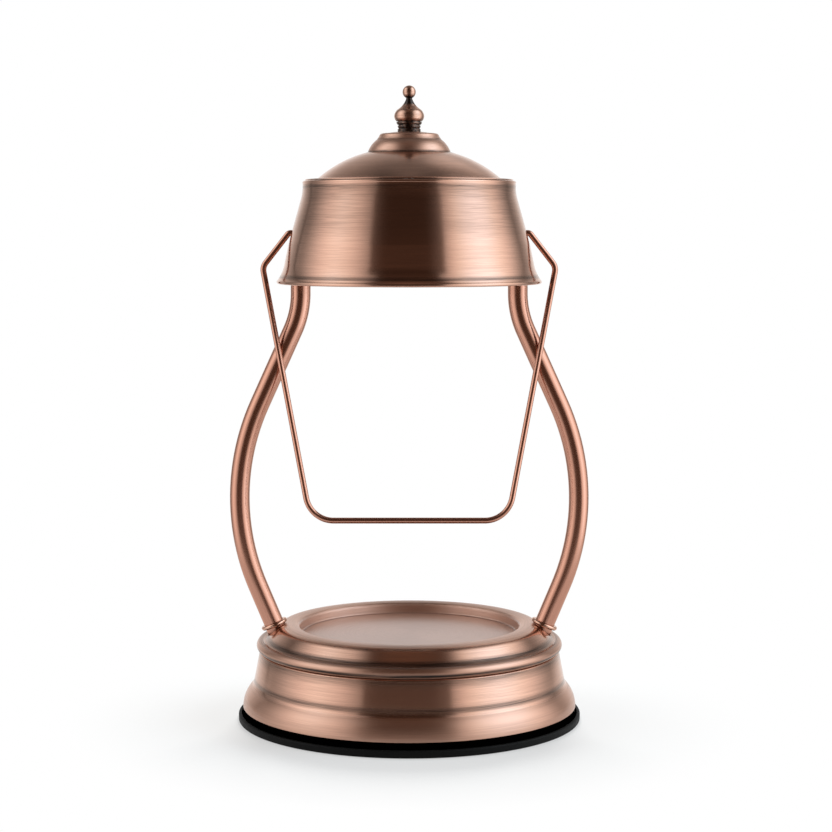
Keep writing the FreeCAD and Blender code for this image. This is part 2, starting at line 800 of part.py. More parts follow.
def on_circle(ring_radius, height, radius, angle):
    """A point of a rolled edge, at an angle from the outward direction."""
    return ring_radius + radius * cosine(angle), height + radius * sine(angle)


def on_bead(angle):
    return on_circle(d.bead_ring_radius, d.bead_height, d.bead_radius, angle)


def make_base_top():
    """Spun cap: warming dish, rounded ring, cove and the bead rolled over the skirt."""
    sheet = d.base_sheet
    crest_edge = d.crest_height - d.crest_drop
    lean = sheet * plain(0.7)          # the sloping wall is offset the same way in and down
    body = spun("base_top", [
        (ZERO, d.dish_height - sheet),
        (d.dish_radius + d.dish_fillet * plain(0.2), d.dish_height - sheet, d.dish_fillet + sheet, 1),
        (d.dish_wall_radius - d.dish_round * plain(0.2) + sheet, d.dish_height + sheet),
        (d.dish_wall_radius + sheet, d.dish_wall_top - sheet * plain(0.2), d.dish_round - sheet, -1),
        (d.crest_inner_radius + sheet * plain(0.1), crest_edge - sheet, d.crest_bulge - sheet, -1),
        (d.crest_outer_radius - sheet * plain(0.15), crest_edge - sheet, d.slope_round - sheet, -1),
        (d.slope_head_radius - lean, d.slope_head_height - lean),
        (d.slope_foot_radius - lean, d.slope_foot_height - lean),
        (*on_bead(d.bead_root_angle), d.bead_radius, 1),
        (d.bead_ring_radius, d.bead_height - d.bead_radius, d.bead_radius, 1),
        (d.bead_ring_radius + d.bead_radius, d.bead_height, d.bead_radius, 1),
        (*on_bead(d.bead_join_angle), d.cove_bulge, -1),
        (d.slope_foot_radius, d.slope_foot_height),
        (d.slope_head_radius, d.slope_head_height, d.slope_round, 1),
        (d.crest_outer_radius, crest_edge, d.crest_bulge, 1),
        (d.crest_inner_radius, crest_edge, d.dish_round, 1),
        (d.dish_wall_radius, d.dish_wall_top),
        (d.dish_wall_radius - d.dish_round * plain(0.2), d.dish_height + d.dish_fillet,
         d.dish_fillet, -1),
        (d.dish_radius, d.dish_height),
        (ZERO, d.dish_height)])
    start = bridge_arm_height
    length = (d.crest_height - start) / cosine(d.arm_lean) + d.collar_radius
    for side in SIDES:
        bore(body, d.arm_radius + d.arm_hole_gap, side * arm_reach_at(start), ZERO, start,
             length, Y_DIRECTION, side * d.arm_lean)
    return body


def make_base_bridge():
    """Folded strap under the dish; its ends lie square to the arms."""
    run = bridge_run + d.bridge_end
    across, down = cosine(d.arm_lean), sine(d.arm_lean)
    fold = d.bridge_sheet * tangent(d.arm_lean * HALF)
    tip_reach = d.bridge_bend_reach + run * across
    tip_height = dish_underside - run * down
    body = new_body("base_bridge")
    sketch = new_sketch(body, "XZ_Plane")
    draw_outline(sketch, [
        (ZERO, dish_underside - d.bridge_sheet),
        (d.bridge_bend_reach - fold, dish_underside - d.bridge_sheet),
        (tip_reach - d.bridge_sheet * down, tip_height - d.bridge_sheet * across),
        (tip_reach, tip_height),
        (d.bridge_bend_reach, dish_underside),
        (ZERO, dish_underside)])
    half = pad(body, sketch, d.bridge_half_width * TWO, both_ways=True)
    mirrored(body, [half], "YZ_Plane")
    low = foot_nut_height
    for side in SIDES:
        bore(body, d.arm_radius + d.arm_fit, side * arm_reach_at(low), ZERO, low,
             (d.bridge_sheet + d.arm_nut_height) * TWO, Y_DIRECTION, side * d.arm_lean)
    return body


# Arms ------------------------------------------------------------------------------

def make_arm(label, turn):
    """A bent tube in the XZ plane; turn is 0 for the right arm and 180 for the left."""
    top = plate_top + d.arm_head_stub
    body = new_body(label)
    section = new_sketch(body, "XY_Plane", top)
    draw_circle(section, d.arm_head_reach, ZERO, d.arm_radius)
    draw_circle(section, d.arm_head_reach, ZERO, d.arm_radius - d.arm_wall)
    path = new_sketch(body, "XZ_Plane")
    draw_path(path, [
        (d.arm_head_reach, top),
        (d.arm_head_reach, d.arm_head_bend_height),
        (d.arm_shoulder_reach, d.arm_shoulder_bend_height),
        (d.arm_shoulder_reach, d.arm_waist_bend_height),
        (arm_reach_at(d.arm_knee_height), d.arm_knee_height),
        (arm_reach_at(arm_foot_height), arm_foot_height)],
        [d.arm_head_bend, d.arm_head_bend, d.arm_waist_bend, d.arm_knee_bend])
    doc.recompute()
    sweep(body, section, path)
    body.Placement.Rotation = FreeCAD.Rotation(Z_DIRECTION, turn)
    return body


def collar_height():
    """Height of the middle of a collar that lies on the rounded shoulder of the base."""
    edge_height = d.crest_height - d.crest_drop
    across = d.slope_head_radius - d.crest_outer_radius
    fall = edge_height - d.slope_head_height
    chord = root(across * across + fall * fall)
    rise = root(d.slope_round * d.slope_round - chord * chord / plain(4.0))
    middle_reach = (d.crest_outer_radius + d.slope_head_radius) * HALF
    middle_height = (edge_height + d.slope_head_height) * HALF
    lift = d.slope_round + d.collar_gap
    touch_reach = middle_reach - rise * fall / chord + lift * sine(d.arm_lean)
    touch_height = middle_height - rise * across / chord + lift * cosine(d.arm_lean)
    lean = tangent(d.arm_lean)
    axis_at_table = arm_reach_at(ZERO)
    return ((touch_height + lean * (touch_reach - axis_at_table))
            * cosine(d.arm_lean) * cosine(d.arm_lean))


def make_collar(label, side):
    """Ring on the arm that covers the hole in the base."""
    inner = d.arm_radius + d.arm_fit
    edge = d.collar_round
    body = spun(label, [
        (inner, ZERO),
        (d.collar_radius - edge, ZERO, edge, 1),
        (d.collar_radius, edge),
        (d.collar_radius, d.collar_thickness - edge, edge, 1),
        (d.collar_radius - edge, d.collar_thickness),
        (inner, d.collar_thickness)])
    height = collar_height()
    place(body, side * arm_reach_at(height), ZERO, height, Y_DIRECTION, side * d.arm_lean)
    return body


def make_arm_nuts():
    """Nuts under the bridge on the arms' feet, and above and below the hood plate."""
    feet, heads = [], []
    hole = d.arm_radius + d.arm_fit
    for side in SIDES:
        foot = nut(d.arm_nut_radius, d.arm_nut_height, hole)
        place(foot, side * arm_reach_at(foot_nut_height), ZERO, foot_nut_height, Y_DIRECTION,
              side * d.arm_lean)
        feet.append(foot)
        for height in (plate_top, plate_bottom - d.arm_nut_height):
            head = nut(d.arm_nut_radius, d.arm_nut_height, hole)
            place(head, side * d.arm_head_reach, ZERO, height)
            heads.append(head)
    return group("arm_foot_nuts", feet), group("arm_head_nuts", heads)


# Hood and dome ---------------------------------------------------------------------

def on_lip(angle):
    return on_circle(d.lip_ring_radius, d.lip_roll_height, d.lip_roll_radius, angle)


def make_hood():
    """Spun drum: in-turned flange, rolled rim, flared wall and rolled lip."""
    sheet, roll = d.hood_sheet, d.rim_radius
    outward = d.neck_radius - d.rim_ring_radius
    upward = d.hood_flange_height - d.rim_height
    body = spun("hood", [
        (d.hood_flange_reach, d.hood_flange_height),
        (d.hood_flange_reach, plate_top),
        (d.neck_radius - sheet, plate_top),
        (d.neck_radius - sheet, d.neck_foot_height, d.neck_bulge + sheet, 1),
        (d.flare_start_radius - sheet, d.flare_start_height),
        (d.belly_radius - sheet, d.belly_height),
        (d.brim_start_radius - sheet, d.brim_start_height, d.brim_bulge + sheet, 1),
        (*on_lip(d.lip_root_angle), d.lip_roll_radius, 1),
        (d.lip_ring_radius, d.lip_roll_height - d.lip_roll_radius, d.lip_roll_radius, 1),
        (*on_lip(d.lip_join_angle), d.brim_bulge, -1),
        (d.brim_start_radius, d.brim_start_height),
        (d.belly_radius, d.belly_height),
        (d.flare_start_radius, d.flare_start_height, d.neck_bulge, -1),
        (d.neck_radius, d.neck_foot_height),
        (d.neck_radius, d.rim_height - root(roll * roll - outward * outward), roll, 1),
        (d.rim_ring_radius, d.rim_height + roll, roll, 1),
        (d.rim_ring_radius - root(roll * roll - upward * upward), d.hood_flange_height)])
    radius = d.bail_radius + d.bail_pivot_gap
    reach = d.lip_ring_radius
    bore(body, radius, -reach, ZERO, d.bail_pivot_height, reach * TWO, Y_DIRECTION, plain(90.0))
    return body


def make_mount_plate():
    """Disc in the neck of the hood: it carries the hood, the arms and the socket."""
    radius = d.neck_radius - d.hood_sheet - d.plate_gap
    body = spun("mount_plate", [
        (d.plate_bore, plate_bottom),
        (radius, plate_bottom),
        (radius, plate_top),
        (d.plate_bore, plate_top)])
    for side in SIDES:
        bore(body, d.arm_radius + d.arm_fit, side * d.arm_head_reach, ZERO, plate_bottom,
             d.plate_thickness)
        bore(body, d.bracket_screw_radius + d.screw_fit, ZERO, side * bracket_screw_place(),
             plate_bottom, d.plate_thickness)
    return body


def make_dome():
    """Spun cap with a stepped crown and a sloping brim that lies on the hood's rim."""
    sheet = d.dome_sheet
    crown_edge = d.dome_top - d.crown_fall
    return spun("dome", [
        (d.dome_bore, d.dome_top - sheet),
        (d.crown_flat_radius, d.dome_top - sheet),
        (d.crown_radius - sheet * HALF, crown_edge - sheet),
        (d.crown_shoulder_radius - sheet * plain(0.8), d.crown_shoulder_height - sheet * HALF),
        (d.crown_waist_radius - sheet * plain(0.8), d.crown_waist_height - sheet * HALF,
         d.crown_skirt_bulge - sheet, -1),
        (d.crown_foot_radius - sheet * HALF, d.crown_foot_height - sheet, d.dome_bulge - sheet, -1),
        (d.dome_foot_radius - sheet * HALF, d.dome_foot_height - sheet),
        (d.dome_brim_radius, d.dome_brim_height),
        (d.dome_brim_radius, d.dome_brim_height + sheet * HALF),
        (d.dome_foot_radius, d.dome_foot_height, d.dome_bulge, 1),
        (d.crown_foot_radius, d.crown_foot_height, d.crown_skirt_bulge, 1),
        (d.crown_waist_radius, d.crown_waist_height),
        (d.crown_shoulder_radius, d.crown_shoulder_height, d.crown_round, 1),
        (d.crown_radius, crown_edge),
        (d.crown_flat_radius, d.dome_top),
        (d.dome_bore, d.dome_top)])


def make_finial():
    """Turned knob, screwed on to the rod; it holds the dome down."""
    foot = d.dome_top
    ring = foot + d.finial_foot_height + d.finial_groove_gap
    ring_top = ring + d.finial_ring_height
    collar = ring_top + d.finial_groove_gap
    collar_top = collar + d.finial_collar_height
    bulb = collar_top + d.finial_groove_gap
    neck = foot + d.finial_neck_height
    hole = d.rod_radius + d.rod_fit
    hole_top = foot + d.rod_hole_depth
    return spun("finial", [
        (hole, foot),
        (d.finial_foot_radius, foot),
        (d.finial_foot_radius, foot + d.finial_foot_height),
        (d.finial_groove_radius, foot + d.finial_foot_height),
        (d.finial_groove_radius, ring, d.finial_ring_height, 1),
        (d.finial_ring_radius, ring_top),
        (d.finial_groove_radius, ring_top),
        (d.finial_groove_radius, collar),
        (d.finial_ring_radius, collar, d.finial_collar_height, 1),
        (d.finial_collar_radius, collar_top),
        (d.finial_ring_radius, collar_top),
        (d.finial_ring_radius, bulb),
        (d.finial_collar_radius, bulb, d.finial_bulb_bulge, 1),
        (d.finial_bulb_radius, foot + d.finial_bulb_height, d.finial_shoulder_bulge, 1),
        (d.finial_shoulder_radius, foot + d.finial_shoulder_height, d.finial_hollow_bulge, -1),
        (d.finial_neck_radius, neck),
        (d.finial_neck_radius, neck + d.finial_neck_radius * plain(0.3), d.finial_ball_radius, 1),
        (d.finial_ball_radius, foot + d.finial_ball_height, d.finial_ball_radius, 1),
        (ZERO, foot + d.finial_ball_height + d.finial_ball_radius),
        (ZERO, hole_top),
        (hole, hole_top)])


# Rod, bracket, socket and bulb -------------------------------------------------------

def bracket_screw_place():
    return d.bracket_leg + d.bracket_sheet + d.bracket_screw_reach


def make_socket_bracket():
    """Folded hat strap that stands on the plate over the socket."""
    sheet = d.bracket_sheet
    top = bracket_top + sheet
    toe = d.bracket_leg + sheet + d.bracket_foot
    body = new_body("socket_bracket")
    sketch = new_sketch(body, "YZ_Plane")
    draw_outline(sketch, [
        (ZERO, bracket_top),
        (d.bracket_leg, bracket_top),
        (d.bracket_leg, plate_top),
        (toe, plate_top),
        (toe, plate_top + sheet),
        (d.bracket_leg + sheet, plate_top + sheet),
        (d.bracket_leg + sheet, top - sheet, sheet, 1),
        (d.bracket_leg, top),
        (ZERO, top)])
    half = pad(body, sketch, d.bracket_half_width * TWO, both_ways=True)
    mirrored(body, [half], "XZ_Plane")
    for side in SIDES:
        bore(body, d.bracket_screw_radius + d.screw_fit, ZERO, side * bracket_screw_place(),
             plate_top, sheet)
    bore(body, d.rod_radius + d.rod_fit, ZERO, ZERO, bracket_top, sheet)
    return body


def make_bracket_screws():
    length = d.bracket_sheet + d.plate_thickness + d.bracket_screw_tail
    screws = []
    for side in SIDES:
        item = screw(d.bracket_screw_head_radius, d.bracket_screw_head, d.bracket_screw_radius,
                     length)
        place(item, ZERO, side * bracket_screw_place(), plate_top + d.bracket_sheet,
              X_DIRECTION, plain(180.0))
        screws.append(item)
    return group("bracket_screws", screws)


def make_hanger_rod():
    """Threaded rod from the bracket up through the dome into the finial."""
    foot = bracket_top + d.socket_top_gap
    rod = cylinder(d.rod_radius, d.dome_top + d.rod_reach - foot, foot)
    rod.Label = "hanger_rod"
    return rod


def make_rod_nut():
    item = nut(d.rod_nut_radius, d.rod_nut_height, d.rod_radius + d.rod_fit)
    item.Label = "rod_nut"
    place(item, ZERO, ZERO, bracket_top + d.bracket_sheet)
    return item


def slot_corners():
    """Curved slot for the neck of one pin, from locked to free, clockwise from above."""
    half_width = d.pin_radius + d.pin_play
    outer, inner = d.pin_circle + half_width, d.pin_circle - half_width
    across, back = cosine(d.bulb_twist), -sine(d.bulb_twist)
    return [
        (inner, ZERO),
        (outer, ZERO, outer, -1),
        (outer * across, outer * back),
        (inner * across, inner * back, inner, 1)]


def make_socket():
    """Ceramic twist socket: a cover with two keyhole slots over a cavity for the pin heads."""
    edge = d.socket_round
    cavity = socket_bottom + d.socket_cover
    body = spun("socket", [
        (ZERO, socket_bottom),
        (d.socket_radius, socket_bottom),
        (d.socket_radius, socket_bottom + d.socket_height - edge, edge, 1),
        (d.socket_radius - edge, socket_bottom + d.socket_height),
        (ZERO, socket_bottom + d.socket_height)])
    bore(body, d.socket_cavity_radius, ZERO, ZERO, cavity, d.socket_cavity_height)
    sketch = new_sketch(body, "XY_Plane", socket_bottom)
    draw_outline(sketch, slot_corners())
    slot = body.newObject("PartDesign::Pocket", "socket_slot")
    slot.Profile = sketch
    slot.Reversed = True
    bind(slot, "Length", d.socket_cover)
    around_axis(body, [slot], 2)
    for side in SIDES:
        reach = side * d.pin_circle
        bore(body, d.pin_radius + d.pin_play, reach, ZERO, socket_bottom, d.socket_cover)
        bore(body, d.pin_head_radius + d.pin_play, reach * cosine(d.bulb_twist),
             -(reach * sine(d.bulb_twist)), socket_bottom, d.socket_cover)
    return body


def make_bulb():
    """Reflector bulb: glass reflector, front lens, burner capsule, ceramic base and pins."""
    base_top = socket_bottom - d.bulb_base_gap
    base_foot = base_top - d.bulb_base_height
    neck_foot = base_foot - d.reflector_neck_height
    rim_top = neck_foot - d.reflector_depth
    face = rim_top - d.reflector_rim
    glass = d.reflector_glass
    reflector = spun("bulb_reflector", [
        (d.reflector_radius, rim_top, d.reflector_bulge, 1),
        (d.reflector_neck_radius, neck_foot),
        (d.reflector_neck_radius, base_foot),
        (ZERO, base_foot),
        (ZERO, base_foot - glass),
        (d.reflector_neck_radius - glass, base_foot - glass),
        (d.reflector_neck_radius - glass, neck_foot, d.reflector_bulge - glass, -1),
        (d.reflector_radius - glass, rim_top),
        (d.reflector_radius - glass, face),
        (d.reflector_radius, face)])
    lens_radius = d.reflector_radius - glass - d.lens_gap
    lens = spun("bulb_lens", [
        (ZERO, face),
        (lens_radius, face),
        (lens_radius, face + d.lens_thickness),
        (ZERO, face + d.lens_thickness)])
    capsule_top = base_foot - glass - d.capsule_gap
    tip = capsule_top - d.capsule_length
    capsule = spun("bulb_capsule", [
        (ZERO, tip, d.capsule_radius, 1),
        (d.capsule_radius, tip + d.capsule_radius),
        (d.capsule_radius, capsule_top),
        (ZERO, capsule_top)])
    base = spun("bulb_base", [
        (ZERO, base_foot),
        (d.bulb_base_radius - d.bulb_base_taper, base_foot),
        (d.bulb_base_radius, base_foot + d.bulb_base_taper),
        (d.bulb_base_radius, base_top),
        (ZERO, base_top)])
    head = base_top + d.pin_neck
    pins = []
    for side in SIDES:
        pin = doc.addObject("Part::Fuse", "pin")
        pin.Base = cylinder(d.pin_radius, d.pin_neck + d.pin_head * HALF)
        pin.Tool = cylinder(d.pin_head_radius, d.pin_head, head - base_top)
        place(pin, side * d.pin_circle, ZERO, base_top)
        pins.append(pin)
    return reflector, lens, capsule, base, group("bulb_pins", pins)


# Bail ------------------------------------------------------------------------------

def bail_lean():
    """Angle at which the hanging bail lies on the front of the arms.

    The arm's straight run between its two bends and the bail's leg cross in the front
    view; at that depth below the pivot the bail must clear the tube.
    """
    knee_reach = arm_reach_at(d.arm_knee_height)
    run = (knee_reach - d.arm_shoulder_reach) / (d.arm_waist_bend_height - d.arm_knee_height)
    leg = (d.bail_shoulder_reach - d.bail_foot_reach) / (d.bail_drop - d.bail_shoulder_drop)
    at_pivot_arm = d.arm_shoulder_reach - (d.bail_pivot_height - d.arm_waist_bend_height) * run
    at_pivot_leg = d.bail_shoulder_reach + d.bail_shoulder_drop * leg
    depth = (at_pivot_leg - at_pivot_arm) / (run + leg)
    return arc_sine((d.arm_radius + d.bail_radius + d.bail_rest_gap) / depth)


def make_bail():
    """Bent wire handle with its two ends turned in through the hood."""
    body = new_body("bail")
    section = new_sketch(body, "YZ_Plane", d.bail_stub_reach)
    draw_circle(section, ZERO, ZERO, d.bail_radius)
    path = new_sketch(body, "XZ_Plane")
    draw_path(path, [
        (d.bail_stub_reach, ZERO),
        (d.bail_elbow_reach, ZERO),
        (d.bail_shoulder_reach, -d.bail_shoulder_drop),
        (d.bail_foot_reach, -d.bail_drop),
        (ZERO, -d.bail_drop)],
        [d.bail_elbow_bend, d.bail_shoulder_bend, d.bail_foot_bend])
    doc.recompute()
    half = sweep(body, section, path)
    mirrored(body, [half], "YZ_Plane")
    place(body, ZERO, ZERO, d.bail_pivot_height, X_DIRECTION, -bail_lean())
    return body


# Build, check and write --------------------------------------------------------------

def build():
    parts = [
        make_nonslip_pad(), make_base_tray(), make_tray_screws(), make_ballast_disc(),
        make_base_posts(), make_base_skirt(), make_cord_grommet(), make_base_top(),
        make_base_bridge(),
        make_arm("arm_right", 0.0), make_arm("arm_left", 180.0),
        make_collar("arm_collar_right", RIGHT), make_collar("arm_collar_left", LEFT),
        *make_arm_nuts(), make_mount_plate(), make_hood(), make_dome(), make_finial(),
        make_hanger_rod(), make_rod_nut(), make_socket_bracket(), make_bracket_screws(),
        make_socket(), *make_bulb(), make_bail()]
    doc.recompute()
    return parts


def check(parts):
    failed = [o.Name for o in doc.Objects if {"Invalid", "Error"} & set(o.State)]
    bad = [p.Label for p in parts if p.Shape.isNull() or not p.Shape.isValid()]
    if failed or bad:
        raise RuntimeError(f"failed objects {failed}, bad shapes {bad}")


parts = build()
check(parts)
os.makedirs("parts", exist_ok=True)
for part in parts:
    part.Shape.exportStep(f"parts/{part.Label}.step")
    box = part.Shape.BoundBox
    print(f"{part.Label:18} solids {len(part.Shape.Solids)}  z {box.ZMin:7.2f} to {box.ZMax:7.2f}")
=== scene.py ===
# %% [markdown]
# # Candle warmer lamp, antique copper
#
# This lamp melts a candle from above. A reflector bulb in a copper hood shines down on the
# dish of a weighted base, two bent tubes carry the hood, and a wire bail hangs in front.
#
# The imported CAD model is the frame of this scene: every piece here sits where a CAD solid
# sits, in the same coordinates, in metres. The large copper pieces are built again as fine
# meshes from the same outlines, because brushed metal shows every facet of a coarse mesh.
# The small pieces keep their CAD meshes and get finished materials.

# %% Open the frame
import math

import bmesh
import bpy
from mathutils import Matrix, Vector


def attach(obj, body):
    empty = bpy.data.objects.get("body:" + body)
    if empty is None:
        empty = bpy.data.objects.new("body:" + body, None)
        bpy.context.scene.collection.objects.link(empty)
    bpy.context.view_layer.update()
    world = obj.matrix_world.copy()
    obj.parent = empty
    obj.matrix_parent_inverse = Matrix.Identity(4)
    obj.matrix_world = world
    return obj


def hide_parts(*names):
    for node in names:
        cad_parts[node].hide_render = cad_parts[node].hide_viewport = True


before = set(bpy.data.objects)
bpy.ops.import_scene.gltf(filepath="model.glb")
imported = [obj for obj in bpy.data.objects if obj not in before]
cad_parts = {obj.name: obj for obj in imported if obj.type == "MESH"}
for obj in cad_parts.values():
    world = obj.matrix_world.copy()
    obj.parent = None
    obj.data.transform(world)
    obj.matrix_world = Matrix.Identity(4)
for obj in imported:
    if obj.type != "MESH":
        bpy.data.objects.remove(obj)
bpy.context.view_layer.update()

MM = 0.001
scene = bpy.context.scene
scene.view_settings.view_transform = "Standard"

# %% [markdown]
# ## Camera
#
# A long lens about a metre away shows the lamp nearly without perspective, as a catalogue
# view does. It stands a little above the middle of the lamp and is tilted down. The render
# is 832 pixels wide, so the focal length in pixels gives the lens in millimetres for a
# sensor 36 mm wide.

# %% The camera
RENDER_WIDTH = 832
FOCAL_PIXELS = 2100.0
CAMERA_PLACE = (0.0034, -1.0571, 0.2512)
CAMERA_TILT = 5.224    # degrees down

camera = bpy.data.cameras.new("camera")
camera.sensor_width = 36.0
camera.lens = FOCAL_PIXELS / RENDER_WIDTH * camera.sensor_width
camera_object = bpy.data.objects.new("camera", camera)
camera_object.location = CAMERA_PLACE
camera_object.rotation_euler = (math.radians(90.0 - CAMERA_TILT), 0.0, 0.0)
scene.collection.objects.link(camera_object)
scene.camera = camera_object
print("lens", round(camera.lens, 2), "mm")


# %% [markdown]
# ## Node helpers
#
# A node tree reads best as a list of what feeds what. `add` makes one node, sets its
# properties, and feeds each input either a number or the output of another node. The other
# helpers are the few steps that the studio and the materials take again and again.

# %% Nodes, numbers and soft steps
def add(tree, kind, inputs=None, **settings):
    node = tree.nodes.new("ShaderNode" + kind)
    for name, value in settings.items():
        setattr(node, name, value)
    for name, value in (inputs or {}).items():
        if isinstance(value, bpy.types.NodeSocket):
            tree.links.new(value, node.inputs[name])
        else:
            node.inputs[name].default_value = value
    return node


def calc(tree, operation, *values):
    return add(tree, "Math", dict(enumerate(values)), operation=operation).outputs[0]


def total(tree, first, *others):
    for value in others:
        first = calc(tree, "ADD", first, value)
    return first


def product(tree, first, *others):
    for value in others:
        first = calc(tree, "MULTIPLY", first, value)
    return first


def ramp(tree, value, low, high, to_low=0.0, to_high=1.0):
    """A soft step: to_low up to low, to_high from high on."""
    node = add(tree, "MapRange", {"Value": value, "From Min": low, "From Max": high,
                                  "To Min": to_low, "To Max": to_high},
               interpolation_type="SMOOTHSTEP")
    return node.outputs[0]


def mix(tree, factor, first, second):
    node = add(tree, "Mix", {0: factor, 6: first, 7: second}, data_type="RGBA")
    return node.outputs[2]


# %% [markdown]
# ## Studio
#
# Polished metal shows its surroundings more than itself, so the light is designed as what
# the metal sees. Lamps and glowing cards could stand round the object, but the world is
# easier to shape: there a soft edge is one step of maths on the direction.
#
# A tall softbox stands at each side, the right one brighter. Each leans back as it rises,
# and its top comes forward again. The room in front is dark and warm, and the sweep behind
# is pale. The camera sees plain white, and so does the glass.
#
# A direction is split into how far it points back and how far up, each over how far it
# points sideways. On that scale a softbox is a plain rectangle with soft edges.

# %% Two softboxes
# A softbox is a sum of soft steps of (start, end, light), counted from front to back: its
# edge, the slow rise of its face and a faint spill before both. "back" is where it ends.
LEFT_BOX = {"steps": [(-1.42, -1.24, 0.2), (-1.5, 0.15, 0.8), (-2.4, -1.4, 0.02)],
            "back": (-0.3, 0.85), "strength": 2.0}
RIGHT_BOX = {"steps": [(-1.62, -1.42, 0.18), (-1.75, 0.1, 0.82), (-3.2, -1.6, 0.03)],
             "back": (-0.25, 1.05), "strength": 2.75}


def build_softbox(tree, place, steps, back, strength):
    """How bright one softbox is at a place across it."""
    light = total(tree, *[ramp(tree, place, start, end, 0.0, level)
                          for start, end, level in steps])
    return product(tree, light, ramp(tree, place, *back, strength, 0.0))


def build_softboxes(tree, x, y, z):
    """How bright the two softboxes are in a direction."""
    across = calc(tree, "MAXIMUM", calc(tree, "ABSOLUTE", x), 0.0001)
    back = calc(tree, "DIVIDE", y, across)
    up = calc(tree, "DIVIDE", z, across)
    lean = total(tree, ramp(tree, up, 0.0, 1.2, 0.2, -0.2),
                 ramp(tree, up, 1.25, 1.7, 0.0, 0.25))
    place = total(tree, back, lean)
    left = build_softbox(tree, place, **LEFT_BOX)
    right = build_softbox(tree, place, **RIGHT_BOX)
    both = add(tree, "Mix", {0: ramp(tree, x, -0.2, 0.2), 2: left, 3: right},
               data_type="FLOAT").outputs[0]
    height = product(tree, ramp(tree, up, 0.0, 1.0, 0.88, 1.18),
                     ramp(tree, up, 0.9, 2.8, 1.0, 0.0))
    return product(tree, both, height)


# %% [markdown]
# The room and the sweep are laid out in degrees: azimuth from straight in front to straight
# behind, and elevation from the horizon up. A thin dark line stands where the sweep ends,
# as the black edge of each softbox does, and high up behind, a brighter patch on the right
# lights that side of the dome.

# %% Room and sweep
SWEEP_END = 131.5


def build_room(tree, x, y, z):
    """How bright the dark front of the room and the pale sweep are in a direction."""
    azimuth = calc(tree, "DEGREES", calc(tree, "ARCTAN2", calc(tree, "ABSOLUTE", x),
                                         product(tree, y, -1.0)))
    elevation = calc(tree, "DEGREES", calc(tree, "ARCSINE", z))
    front = total(tree, ramp(tree, elevation, 22.0, 36.0, 0.07, 0.02),
                  ramp(tree, elevation, 55.0, 80.0, 0.0, 0.09),
                  ramp(tree, elevation, 37.0, 45.0, 0.0, 0.03))
    front = product(tree, front, ramp(tree, azimuth, 40.0, 110.0, 1.0, 0.0))
    sweep = total(tree, ramp(tree, azimuth, 40.0, 110.0, 0.0, 0.42),
                  ramp(tree, azimuth, 132.0, 162.0, 0.0, 0.58))
    fall = product(tree, ramp(tree, elevation, 10.0, 34.0, 1.0, 0.62),
                   ramp(tree, elevation, 34.0, 66.0, 1.0, 0.4))
    patch = product(tree, ramp(tree, azimuth, 148.0, 158.0),
                    ramp(tree, azimuth, 167.0, 175.0, 1.0, 0.0),
                    product(tree, ramp(tree, elevation, 26.0, 40.0),
                            ramp(tree, elevation, 50.0, 62.0, 1.0, 0.0)))
    patch = product(tree, patch, ramp(tree, x, -0.1, 0.1, -0.05, 0.42))
    sweep = total(tree, product(tree, sweep, fall), patch)
    apart = calc(tree, "ABSOLUTE", calc(tree, "SUBTRACT", azimuth, SWEEP_END))
    line = calc(tree, "MAXIMUM", ramp(tree, apart, 0.8, 2.8), ramp(tree, x, -0.2, 0.2, 0.45, 0.8))
    return front, product(tree, sweep, line)


# %% [markdown]
# The colours come last: the brightest part of a softbox is a little cool, the front of the
# room is warm, and the sweep is neutral.

# %% The world
WHITE = (1.0, 1.0, 1.0, 1.0)
WARM_ROOM = (1.6, 1.0, 0.72)
NEUTRAL_SWEEP = (1.0, 1.0, 1.0)


def tint(tree, colour, level):
    """A colour times a number, as a vector that can be added to another one."""
    return add(tree, "VectorMath", {0: colour, "Scale": level}, operation="SCALE").outputs[0]


def join(tree, first, second):
    return add(tree, "VectorMath", {0: first, 1: second}, operation="ADD").outputs[0]


world = bpy.data.worlds.new("studio")
scene.world = world
world.use_nodes = True
tree = world.node_tree
tree.nodes.clear()
direction = add(tree, "TexCoord").outputs["Generated"]
x, y, z = add(tree, "SeparateXYZ", {0: direction}).outputs
boxes = build_softboxes(tree, x, y, z)
front, sweep = build_room(tree, x, y, z)
cool = add(tree, "CombineXYZ", {0: ramp(tree, boxes, 1.0, 2.8, 1.0, 0.82), 1: 1.0,
                                2: ramp(tree, boxes, 1.5, 2.8, 1.0, 1.15)}).outputs[0]
light = join(tree, tint(tree, cool, boxes),
             join(tree, tint(tree, WARM_ROOM, front), tint(tree, NEUTRAL_SWEEP, sweep)))
path = add(tree, "LightPath").outputs
seen = calc(tree, "MAXIMUM", path["Is Camera Ray"], path["Is Transmission Ray"])
shade = add(tree, "Background", {"Color": mix(tree, seen, light, WHITE)})
tree.links.new(shade.outputs[0], add(tree, "OutputWorld").inputs["Surface"])
world.cycles.sampling_method = "MANUAL"
world.cycles.sample_map_resolution = 1024
print("studio:", len(tree.nodes), "nodes")


# %% [markdown]
# ## Floor
#
# The floor is a pale matt sheet. A shadow catcher would need a compositor to put white
# behind it, while a real sheet only has to come out white: its lit colour and a little
# light of its own add up to white at the lamp's foot, and further out it turns into the
# white of the background.
#
# The metal sees a table that ends half a metre away: past its edge it sees the studio
# again, down to the feet of the softboxes. From below, the sheet is not there. It lies a
# hair under the lamp, so that no two faces share a plane.

# %% The floor sheet
SHEET, GLOW = 0.30, 0.50       # the paper's colour, and the light of its own
PAPER_BLUE = 0.985             # the paper is a little warm
PAPER_GRAIN = 0.01
FLOOR_RADIUS = 9.0
FLOOR_DROP = 0.02 * MM
WHITE_FROM = (0.095, 0.18)     # metres from the axis over which the paper turns white
TABLE_END = (0.22, 0.50)       # and over which the metal stops seeing it


